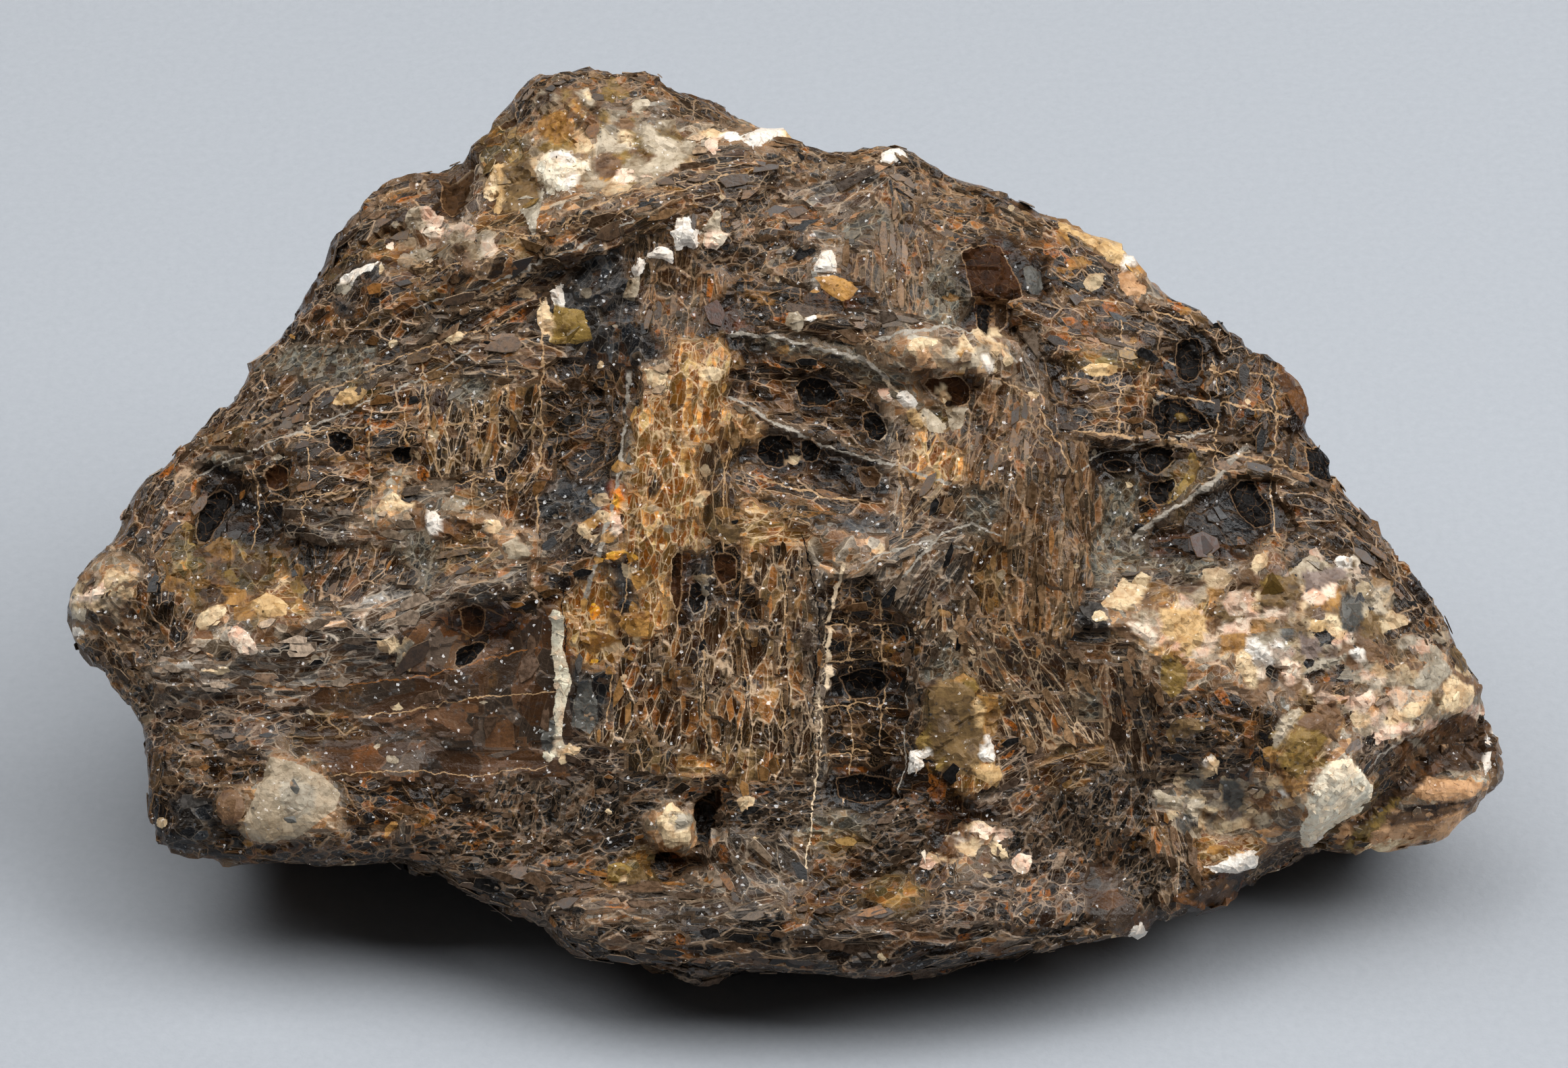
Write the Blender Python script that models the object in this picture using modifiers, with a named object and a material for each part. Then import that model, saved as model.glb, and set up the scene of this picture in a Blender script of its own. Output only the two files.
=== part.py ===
"""Bannisterite specimen: a broken lump of intergrown mica-like books with quartz, feldspar and
calcite grains in it. One natural piece, so one closed solid, which rests on its own flat underside.

Sizes are in mm and are scaled to metres when the mesh is made. +Z is up, and the broken face that
a collector would turn to the front looks toward -Y and up."""

import functools
import math

import bmesh
import bpy
from mathutils import Vector, noise

MM = 0.001

# The piece is laid out on its front face: u runs across it, v up its slope and w straight out of it.
FACE_LEAN = math.radians(50)       # angle between the face and the floor
UPWARD = Vector((0.0, math.cos(FACE_LEAN), math.sin(FACE_LEAN)))
OUTWARD = Vector((0.0, -math.sin(FACE_LEAN), math.cos(FACE_LEAN)))
FACE_MIDDLE_HEIGHT = 26.2          # height of u = v = w = 0 above the floor
FACE_CENTRE = (-0.5, -2.5)         # the outline is seen whole from this point of the face
WIDENING = 1 / 400                 # the flanks open out by this much for each mm behind the face

# The broken edge of the face, clockwise from the left shoulder of the peak.
OUTLINE = [
    # the peak and the saddle to its right
    (-16.9, 28.0), (-16.4, 28.5), (-14.0, 29.2), (-10.8, 29.0), (-8.6, 29.5), (-7.3, 28.2),
    (-6.0, 27.9), (-4.1, 26.3), (-3.0, 25.5), (-0.2, 25.1), (2.2, 24.1), (3.7, 23.9),
    (6.5, 24.7), (7.6, 24.5), (8.9, 23.2),
    # the long upper right flank, with its steps
    (10.4, 22.3), (12.2, 22.0), (15.7, 20.2), (18.5, 19.1), (20.2, 18.4), (21.7, 17.3),
    (23.4, 15.5), (24.5, 14.7), (27.7, 13.5), (29.1, 11.9), (31.7, 10.5), (32.8, 8.4),
    (32.6, 6.0), (34.3, 5.2), (34.7, 3.0), (36.0, 2.1), (38.0, -0.3), (40.8, -3.9),
    (41.9, -6.5), (44.2, -10.2),
    # the right end: a notch, a pale lump and two tongues
    (43.9, -11.2), (44.8, -13.4), (44.7, -15.0), (43.8, -16.9), (43.2, -17.7), (41.0, -19.1),
    (37.8, -19.6), (34.5, -20.0), (30.8, -21.8), (29.1, -22.0),
    # the foot and the long lower edge
    (29.0, -23.7), (28.6, -24.1), (23.5, -23.8), (21.0, -25.8), (18.6, -25.7), (14.0, -26.7),
    (6.9, -27.7), (1.2, -27.6), (-2.5, -27.4), (-5.6, -27.8), (-7.3, -27.1), (-12.2, -26.7),
    (-13.9, -25.8), (-14.5, -24.3), (-16.6, -23.5), (-19.6, -23.2), (-21.6, -21.9),
    # the straight lower left edge
    (-22.8, -20.9), (-30.8, -20.8), (-34.2, -21.0), (-38.1, -20.7), (-40.2, -19.6),
    # the left cliff and the knob above it
    (-40.2, -15.7), (-40.7, -11.1), (-41.8, -10.3), (-43.6, -8.3), (-45.1, -6.0), (-45.3, -4.6),
    (-44.2, -2.1), (-42.7, -1.2), (-41.7, -0.5),
    # the stepped upper left flank
    (-41.3, 1.5), (-40.8, 2.8), (-37.2, 6.1), (-35.4, 8.0), (-33.8, 9.4), (-34.0, 10.2),
    (-32.6, 11.1), (-30.3, 14.1), (-28.9, 15.9), (-28.5, 18.0), (-25.5, 20.9), (-25.0, 22.0),
    (-22.7, 22.3), (-21.4, 23.1), (-20.1, 23.1), (-18.0, 25.7), (-17.4, 25.8),
]

# How far the edge of the face lies behind its middle, by bearing in degrees from +u toward +v.
EDGE_SET_BACK = [
    (-180, 5.0), (-160, 2.0), (-150, 0.8), (-120, -0.6), (-90, -1.2), (-60, -0.8), (-38, 1.0),
    (-22, 3.0), (0, 5.5), (30, 6.5), (60, 6.0), (90, 5.5), (110, 5.5), (140, 7.0), (165, 7.0),
    (180, 5.0),
]
EDGE_FALL = 2.6                    # above 1: the face stays level and falls away near its edge
EDGE_ROUNDING = 1.1                # the worn corner between the face and the flanks

# Steps, ridges and hollows of the face: middle, half length, half width, direction of the length
# in degrees, height, and the part of the half width over which the height fades.
RELIEF = [
    (-14.1, 19.0, 16.0, 1.7, 20, 1.9, 0.5),      # strap of layered books below the peak
    (-11.1, 25.1, 8.0, 4.0, 5, -1.4, 0.4),       # quartz-rich peak, set back behind the strap
    (-8.6, 4.3, 8.0, 3.1, 70, 1.3, 0.7),         # amber column
    (-11.3, 6.9, 3.6, 1.6, 80, -1.2, 0.7),       # dark hollow left of the column
    (3.1, 6.0, 6.6, 5.4, -25, -1.5, 0.45),       # upper window of dark cells
    (5.2, -11.4, 6.0, 2.4, 88, -1.2, 0.6),       # lower window
    (15.4, -0.4, 6.8, 3.0, 84, 1.2, 0.7),        # fibrous buttress
    (21.2, 0.4, 5.0, 2.4, -55, -1.3, 0.5),       # grey-green wedge
    (27.0, 7.5, 5.0, 3.8, -20, -0.9, 0.4),       # block of dark cells
    (30.5, -9.0, 10.5, 6.5, -36, 1.3, 0.4),      # pale granular bench
    (34.6, -16.4, 3.2, 2.2, 52, 1.0, 0.5),       # coarse pink calcite on the bench
    (-22.2, -11.2, 8.5, 4.6, 10, -0.7, 0.4),     # smooth plate
    (-27.2, -6.0, 13.5, 1.9, 14, 1.0, 0.8),      # silvery band above the plate
    (-31.1, -16.6, 9.6, 3.9, 0, 0.8, 0.25),      # square cliff at the lower left
    (-30.9, -16.9, 2.9, 2.7, 0, 0.6, 0.3),       # pale patch on the cliff
    (-4.9, -18.1, 1.5, 0.9, 90, -4.0, 0.6),      # open cavity
    (-6.6, -20.9, 2.6, 0.9, 0, -2.6, 0.6),       # hollow under the overhang
    (4.2, -25.3, 19.5, 2.5, 1, 2.0, 0.6),        # laminated bulge along the lower edge
    (10.1, 11.2, 3.8, 1.6, -10, 1.3, 0.5),       # cream crystals above the window
    (-5.2, 18.7, 3.6, 1.6, 8, 0.7, 0.4),         # white grains below the strap
    (13.2, 16.6, 2.8, 3.0, 0, 0.7, 0.3),         # square dark book
    (41.1, -16.2, 4.2, 1.2, 4, 2.2, 0.4),        # upper tongue at the right end
    (39.5, -18.4, 5.0, 1.2, 10, 1.6, 0.4),       # lower tongue
    (27.1, -23.1, 1.9, 1.3, 0, 1.6, 0.3),        # foot
    (-42.3, -3.0, 2.6, 2.2, 20, 1.1, 0.5),       # cream crystals on the left knob
    (-25.0, 8.0, 9.0, 4.0, 25, 0.8, 0.5),        # swelling of the upper left flank
    (-34.0, 0.5, 5.0, 3.0, -60, -0.9, 0.5),      # hollow of the olive cells
]

# Right of this line across the face the rock has broken away behind the bench.
BREAK_POINT = Vector((44.1, -10.2))
BREAK_NORMAL = Vector((0.595, -0.804))
BREAK_DROP = 4.2
BREAK_WIDTH = 0.9

FLANK_LENGTH = 64.0                # how far the flanks run back before the faces below cut them
FLANK_TAPER = 0.50                 # part of the outline lost over that length

# Flat fracture faces of the back: a point in the room's axes, and the way out of the rock.
BACK_FACES = [
    ((0.0, 27.5, 23.2), (0.10, 1.0, 0.12)),      # back wall
    ((-32.5, 20.0, 17.9), (-0.74, 0.66, 0.10)),  # left back corner
    ((34.8, 15.8, 14.0), (0.72, 0.68, 0.16)),    # right back corner
    ((-10.4, 26.7, 44.3), (-0.10, 0.72, 0.69)),  # bevel behind the peak
    ((15.2, 23.9, 35.4), (0.35, 0.70, 0.62)),    # bevel behind the right shoulder
    ((2.0, 26.0, 5.0), (0.05, 0.86, -0.50)),     # undercut at the foot of the back wall
]

GRAIN = 0.75                       # cell size of the mesh before it is thinned
BOOK_WIDTH = 6.5                   # the mica books that the surface breaks along
BOOK_STEP = 1.2                    # how far one stands out from the next
SMALL_BOOK_WIDTH = 2.9
SMALL_BOOK_STEP = 0.5
BOOK_TILT = 0.22                   # slope of a book's end
LAYER_STEP = 0.55                  # ledges where the layers end on the back and flanks
LAYER_PITCH = 4.2
LAYER_UP = Vector((0.28, 0.18, 0.94))
RIM_HOLD = 4.5                     # the books break up less and less within this depth of the rim
SEED = 7                           # picks how the books break up
TRIANGLES = 10400                  # before the underside is cut off
COUNTING_DIRECTION = Vector((0.731, 0.541, 0.417))


def from_face(u, v, w):
    """The place in the room of a point given on the face."""
    spread = 1 - w * WIDENING
    y = v * spread * math.cos(FACE_LEAN) - w * math.sin(FACE_LEAN)
    z = v * spread * math.sin(FACE_LEAN) + w * math.cos(FACE_LEAN)
    return Vector((u * spread, y, z + FACE_MIDDLE_HEIGHT))


def blend(x):
    """0 below 0, 1 above 1 and a smooth step between them."""
    x = min(max(x, 0.0), 1.0)
    return x * x * (3 - 2 * x)


@functools.lru_cache(maxsize=None)
def reach(bearing):
    """Distance from the centre of the face to its edge."""
    centre = Vector(FACE_CENTRE)
    ray = Vector((math.cos(bearing), math.sin(bearing)))
    corners = [Vector(corner) - centre for corner in OUTLINE]
    best = 0.0
    for start, end in zip(corners, corners[1:] + corners[:1]):
        side = end - start
        spread = ray.x * side.y - ray.y * side.x
        if abs(spread) < 1e-9:
            continue
        distance = (start.x * side.y - start.y * side.x) / spread
        along = (start.x * ray.y - start.y * ray.x) / spread
        if distance > 0 and 0 <= along <= 1:
            best = max(best, distance)
    return best


def edge_set_back(bearing):
    degrees = math.degrees(bearing)
    for (first, low), (second, high) in zip(EDGE_SET_BACK, EDGE_SET_BACK[1:]):
        if first <= degrees <= second:
            return low + (high - low) * blend((degrees - first) / (second - first))
    return EDGE_SET_BACK[0][1]


def relief(u, v):
    """Height of the steps, ridges and hollows at one point of the face."""
    height = 0.0
    for middle_u, middle_v, half_length, half_width, turn, step, fade in RELIEF:
        angle = math.radians(turn)
        along = (u - middle_u) * math.cos(angle) + (v - middle_v) * math.sin(angle)
        across = (v - middle_v) * math.cos(angle) - (u - middle_u) * math.sin(angle)
        away = (abs(along / half_length) ** 4 + abs(across / half_width) ** 4) ** (1 / 4)
        height += step * blend((1 - away) / fade + 0.5)
    beyond = (Vector((u, v)) - BREAK_POINT).dot(BREAK_NORMAL)
    return height - BREAK_DROP * blend(beyond / BREAK_WIDTH + 0.5)


def book_steps(place, width, step):
    """Each book ends in a flat of its own height and tilt, with a sharp edge at its borders."""
    nearest = noise.voronoi(place / width)[1][0]
    seed = nearest * 7.3 + Vector((3.1, 0.7, 5.9))
    tilt = noise.noise_vector(seed) * BOOK_TILT
    return step * noise.noise(seed) + tilt.dot(place - nearest * width)


def layer_ledges(place):
    """Ledges left where one layer of the rock ends and the next goes on."""
    bent = LAYER_UP.dot(place) + 1.6 * noise.noise(place * 0.09)
    return LAYER_STEP * (bent / LAYER_PITCH % 1.0)


def shape_lump():
    """The whole lump as a ball whose front half is the face and whose back half is the flanks."""
    lump = bmesh.new()
    bmesh.ops.create_uvsphere(lump, u_segments=288, v_segments=150, radius=1.0)
    for vertex in lump.verts:
        x, y, z = vertex.co
        bearing = round(math.atan2(y, x), 6)
        opening = math.acos(max(-1.0, min(1.0, z))) / (math.pi / 2)
        edge = reach(bearing)
        set_back = edge_set_back(bearing)
        if opening <= 1:
            distance = edge * opening
            fall = set_back * opening ** EDGE_FALL
            fall += EDGE_ROUNDING * opening ** 24
            depth = 0.0
        else:
            along = opening - 1
            depth = FLANK_LENGTH * along
            closing = min(1.0, (1 - along) * 40)
            distance = edge * (1 - FLANK_TAPER * along) * closing
            fall = set_back + EDGE_ROUNDING
        u = FACE_CENTRE[0] + distance * math.cos(bearing)
        v = FACE_CENTRE[1] + distance * math.sin(bearing)
        height = relief(u, v) * blend(1 - depth / 6)
        vertex.co = from_face(u, v, height - fall - depth)
    return lump


def cut_flat(lump, point, normal):
    """Cuts away what lies beyond a plane and closes the cut with one flat face."""
    everything = lump.verts[:] + lump.edges[:] + lump.faces[:]
    bmesh.ops.bisect_plane(lump, geom=everything, dist=1e-5, plane_co=Vector(point),
                           plane_no=Vector(normal).normalized(), clear_outer=True)
    rim = [edge for edge in lump.edges if edge.is_boundary]
    bmesh.ops.holes_fill(lump, edges=rim, sides=0)


def drop_loose_chips(lump):
    """Keeps the largest connected piece, so that a cut leaves no chip or sealed pocket."""
    unseen = set(lump.verts)
    pieces = []
    while unseen:
        piece = [unseen.pop()]
        for vertex in piece:
            for edge in vertex.link_edges:
                neighbour = edge.other_vert(vertex)
                if neighbour in unseen:
                    unseen.remove(neighbour)
                    piece.append(neighbour)
        pieces.append(piece)
    pieces.sort(key=len)
    for piece in pieces[:-1]:
        bmesh.ops.delete(lump, geom=piece, context="VERTS")


def apply_modifiers(thing):
    """Replaces the object's mesh by the one that its modifiers make."""
    graph = bpy.context.evaluated_depsgraph_get()
    result = bpy.data.meshes.new_from_object(thing.evaluated_get(graph))
    thing.modifiers.clear()
    thing.data = result


def off_the_rim(place):
    """0 on the broken edge of the face, rising to 1 a few mm before and behind it."""
    away = place - Vector((0.0, 0.0, FACE_MIDDLE_HEIGHT))
    w = away.dot(OUTWARD)
    spread = 1 - w * WIDENING
    u = away.x / spread - FACE_CENTRE[0]
    v = away.dot(UPWARD) / spread - FACE_CENTRE[1]
    bearing = round(math.atan2(v, u), 2)
    behind = -edge_set_back(bearing) - EDGE_ROUNDING / 2 - w
    inside = reach(bearing) - math.hypot(u, v)
    return blend(math.hypot(behind, max(inside, 0.0)) / RIM_HOLD)


def roughen(mesh):
    """Breaks the surface along books and layers; the ledges stay off the face."""
    moved = []
    for vertex in mesh.vertices:
        place = vertex.co.copy()
        bend = noise.noise_vector(place * 0.16) * 2.0
        height = book_steps(place + bend, BOOK_WIDTH, BOOK_STEP)
        height += book_steps(place + bend * 0.4, SMALL_BOOK_WIDTH, SMALL_BOOK_STEP)
        off_face = blend((0.55 - vertex.normal.dot(OUTWARD)) / 0.5)
        height += layer_ledges(place) * off_face
        height *= (0.55 + 0.45 * off_face) * off_the_rim(place)
        moved.append(place + vertex.normal * height)
    for vertex, place in zip(mesh.vertices, moved):
        vertex.co = place


def settle_order(mesh):
    """Splits the faces and numbers every element by its place, so that each build thins alike."""
    ordered = bmesh.new()
    ordered.from_mesh(mesh)
    bmesh.ops.triangulate(ordered, faces=ordered.faces, quad_method="SHORT_EDGE")
    ordered.verts.sort(key=lambda vert: vert.co.dot(COUNTING_DIRECTION))
    ordered.edges.sort(key=lambda edge: (edge.verts[0].co + edge.verts[1].co).dot(COUNTING_DIRECTION))
    ordered.faces.sort(key=lambda face: face.calc_center_median().dot(COUNTING_DIRECTION))
    ordered.to_mesh(mesh)
    ordered.free()


for old in list(bpy.data.objects):
    bpy.data.objects.remove(old, do_unlink=True)
noise.seed_set(SEED)

specimen = bpy.data.collections.new("bannisterite specimen")
bpy.context.scene.collection.children.link(specimen)

lump = shape_lump()
for point, normal in BACK_FACES:
    cut_flat(lump, point, normal)
cut_flat(lump, (0, 0, -6), (0, 0, -1))
bmesh.ops.recalc_face_normals(lump, faces=lump.faces)
mesh = bpy.data.meshes.new("bannisterite_block")
lump.to_mesh(mesh)
lump.free()

block = bpy.data.objects.new("bannisterite_block", mesh)
specimen.objects.link(block)

# An even mesh over the whole lump, so that the books break it up alike on every side.
even = block.modifiers.new("even mesh", "REMESH")
even.mode = "VOXEL"
even.voxel_size = GRAIN
apply_modifiers(block)
roughen(block.data)

settle_order(block.data)

# Thinned to the triangles that a broken rock needs: many on its corners, few on its flats.
thin = block.modifiers.new("thin", "DECIMATE")
thin.ratio = TRIANGLES / len(block.data.polygons)
apply_modifiers(block)

# The flat underside that it rests on, and the origin at the middle of the footprint.
lump = bmesh.new()
lump.from_mesh(block.data)
cut_flat(lump, (0, 0, 0), (0, 0, -1))
drop_loose_chips(lump)
bmesh.ops.triangulate(lump, faces=lump.faces)
low = [min(vertex.co[axis] for vertex in lump.verts) for axis in range(3)]
high = [max(vertex.co[axis] for vertex in lump.verts) for axis in range(3)]
middle = Vector(((low[0] + high[0]) / 2, (low[1] + high[1]) / 2, low[2]))
bmesh.ops.translate(lump, vec=-middle, verts=lump.verts)
bmesh.ops.scale(lump, vec=(MM, MM, MM), verts=lump.verts)
lump.to_mesh(block.data)
lump.free()

rock = bpy.data.materials.new("bannisterite_rock")
rock.use_nodes = True
finish = rock.node_tree.nodes["Principled BSDF"]
finish.inputs["Base Color"].default_value = (0.115, 0.068, 0.040, 1)
finish.inputs["Roughness"].default_value = 0.42
finish.inputs["Metallic"].default_value = 0.0
block.data.materials.clear()
block.data.materials.append(rock)
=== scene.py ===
"""The finish of a bannisterite specimen: its rock skin and every crystal that stands out of it."""

import math
import random

import bmesh
import bpy
import numpy as np
from mathutils import Matrix, Vector, noise
from mathutils.bvhtree import BVHTree


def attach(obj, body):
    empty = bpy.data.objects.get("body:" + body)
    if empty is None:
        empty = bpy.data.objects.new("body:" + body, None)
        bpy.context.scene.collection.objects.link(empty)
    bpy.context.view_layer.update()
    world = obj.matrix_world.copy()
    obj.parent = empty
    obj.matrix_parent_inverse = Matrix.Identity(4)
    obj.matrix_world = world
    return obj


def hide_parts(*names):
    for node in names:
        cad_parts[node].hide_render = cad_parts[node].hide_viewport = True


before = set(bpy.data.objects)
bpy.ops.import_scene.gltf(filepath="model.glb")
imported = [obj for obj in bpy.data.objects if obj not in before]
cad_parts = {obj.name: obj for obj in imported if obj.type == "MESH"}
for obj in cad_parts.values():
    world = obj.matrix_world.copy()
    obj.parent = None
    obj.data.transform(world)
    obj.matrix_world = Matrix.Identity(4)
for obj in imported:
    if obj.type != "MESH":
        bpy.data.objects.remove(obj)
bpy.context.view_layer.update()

# ------------------------
# The rock skin: one broken surface of intergrown mica books, all the way round. Each book has its
# own cleavage direction, cell size, colour and height, so the skin is laid out book by book over
# the front face. The flanks and the back carry on in the same few kinds.
# ------------------------
scene = bpy.context.scene
random.seed(11)
noise.seed_set(11)
MM = 0.001

# Places on the face are given on a grid laid square on to it, 2324 steps by 1583, with x to the
# right and y down. It narrows a little with height, like anything seen from a near point.
GRID_PER_MM = 23.56
GRID_MIDDLE = (1162.0, 791.5)
FACE_LEAN = math.radians(50)
FACE_MIDDLE = np.array((0.022, -6.498, 26.2))  # in mm, where the grid's middle meets the rock
SIGHT_LENGTH = 400.0  # mm from the face to where the grid lines meet
ACROSS = np.array((1.0, 0.0, 0.0))
UP_FACE = np.array((0.0, math.cos(FACE_LEAN), math.sin(FACE_LEAN)))
OUT = np.array((0.0, -math.sin(FACE_LEAN), math.cos(FACE_LEAN)))


def grid_of(points):
    """Grid x and y, and depth out of the face in mm, of points in mm."""
    away = points - FACE_MIDDLE
    out = away @ OUT
    scale = GRID_PER_MM / (1 - out / SIGHT_LENGTH)
    return GRID_MIDDLE[0] + (away @ ACROSS) * scale, GRID_MIDDLE[1] - (away @ UP_FACE) * scale, out


def off_grid(x, y, out):
    """The point in mm at a place on the grid and a height out of the face."""
    scale = (1 - out / SIGHT_LENGTH) / GRID_PER_MM
    across = (x - GRID_MIDDLE[0]) * scale
    up = (GRID_MIDDLE[1] - y) * scale
    return Vector(FACE_MIDDLE + ACROSS * across + UP_FACE * up + OUT * out)


LAMPS_ON_FACE = 0.74  # share of the lamps' light that the leaning face catches


def tone(red, green, blue):
    """A colour given as it looks under the lamps, 0 to 255, made linear."""
    seen = np.array((red, green, blue)) / 255
    linear = np.where(seen <= 0.04045, seen / 12.92, ((seen + 0.055) / 1.055) ** 2.4)
    return np.minimum(linear / LAMPS_ON_FACE, 0.95)


# What each kind of book looks like: light, deep and vein tone, the share of black glassy cells,
# cell size in mm, how far cells are drawn out along the cleavage, how strong the layer lines are,
# how rough the broken surface stands, how glassy it is, and how clearly the net of cell walls shows.
KIND_TONES = ("light", "deep", "vein")
KIND_MEASURES = ("black", "size", "drawn_out", "layers", "rough", "glass", "net")
KINDS = {
    "cells": ((96, 66, 36), (26, 16, 7), (150, 124, 98), 0.12, 1.4, 2.2, 0.3, 0.8, 0.8, 1.0),
    "tall": ((138, 100, 58), (36, 22, 9), (168, 143, 115), 0.05, 1.2, 2.6, 0.3, 0.8, 0.8, 1.0),
    "dark": ((78, 54, 32), (18, 11, 5), (128, 100, 72), 0.30, 1.5, 1.6, 0.2, 0.7, 0.9, 0.8),
    "black": ((38, 27, 18), (8, 6, 5), (92, 72, 54), 0.6, 2.2, 1.2, 0.05, 0.4, 1.0, 0.5),
    "red": ((64, 36, 20), (18, 10, 5), (108, 80, 54), 0.22, 2.2, 1.2, 0.1, 0.4, 1.0, 0.4),
    "amber": ((204, 156, 90), (96, 60, 20), (196, 168, 130), 0.03, 0.85, 2.4, 0.25, 0.7, 0.9, 0.8),
    "flame": ((236, 140, 26), (176, 80, 6), (226, 180, 120), 0.0, 0.8, 1.6, 0.1, 0.5, 0.9, 0.5),
    "olive": ((132, 102, 54), (58, 42, 17), (170, 146, 106), 0.04, 1.6, 1.3, 0.1, 0.5, 0.9, 0.4),
    "plate": ((94, 73, 57), (50, 37, 27), (126, 103, 82), 0.02, 2.8, 2.4, 0.2, 0.3, 0.5, 0.3),
    "ochre": ((108, 80, 46), (38, 25, 12), (150, 122, 90), 0.04, 1.4, 2.0, 0.2, 0.6, 0.8, 0.8),
    "silver": ((124, 106, 87), (48, 37, 28), (164, 146, 125), 0.08, 1.1, 3.0, 0.6, 0.8, 0.8, 0.6),
    "green": ((112, 101, 83), (52, 44, 34), (150, 140, 120), 0.03, 0.8, 1.6, 0.4, 0.5, 0.5, 0.5),
    "fibre": ((116, 88, 60), (46, 32, 18), (150, 122, 93), 0.04, 0.9, 3.8, 0.5, 0.8, 0.6, 0.7),
    "flaky": ((134, 104, 74), (40, 27, 16), (170, 144, 114), 0.05, 1.1, 2.6, 0.4, 0.8, 0.7, 0.9),
    "strap": ((110, 84, 60), (34, 23, 14), (162, 136, 108), 0.08, 1.3, 3.2, 0.6, 1.0, 0.7, 0.8),
    "coarse": ((106, 83, 60), (32, 23, 15), (146, 121, 95), 0.06, 0.9, 1.6, 0.3, 0.9, 0.7, 0.7),
    "crumb": ((80, 62, 46), (16, 12, 8), (126, 105, 84), 0.16, 0.8, 1.9, 0.4, 1.0, 0.7, 0.7),
    "mixed": ((176, 150, 122), (78, 58, 39), (204, 184, 158), 0.05, 1.5, 1.3, 0.1, 0.4, 0.9, 0.3),
    "steel": ((74, 70, 66), (20, 19, 19), (128, 118, 106), 0.15, 1.5, 1.4, 0.3, 0.4, 1.0, 0.3),
    "cream": ((184, 160, 131), (116, 92, 67), (210, 192, 167), 0.0, 1.1, 1.3, 0.05, 0.5, 0.8, 0.2),
    "quartz": ((168, 155, 138), (96, 83, 67), (206, 196, 182), 0.0, 1.6, 1.2, 0.05, 0.4, 1.0, 0.15),
    "mica": ((166, 146, 126), (58, 45, 34), (184, 168, 148), 0.08, 1.1, 3.2, 0.6, 0.8, 0.8, 0.6),
    "ledge": ((86, 66, 49), (19, 14, 10), (142, 120, 98), 0.10, 1.3, 3.2, 0.6, 1.0, 0.8, 0.7),
    "dusk": ((94, 75, 60), (27, 19, 14), (142, 122, 102), 0.08, 0.9, 2.1, 0.3, 0.7, 0.8, 0.8),
}

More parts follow.
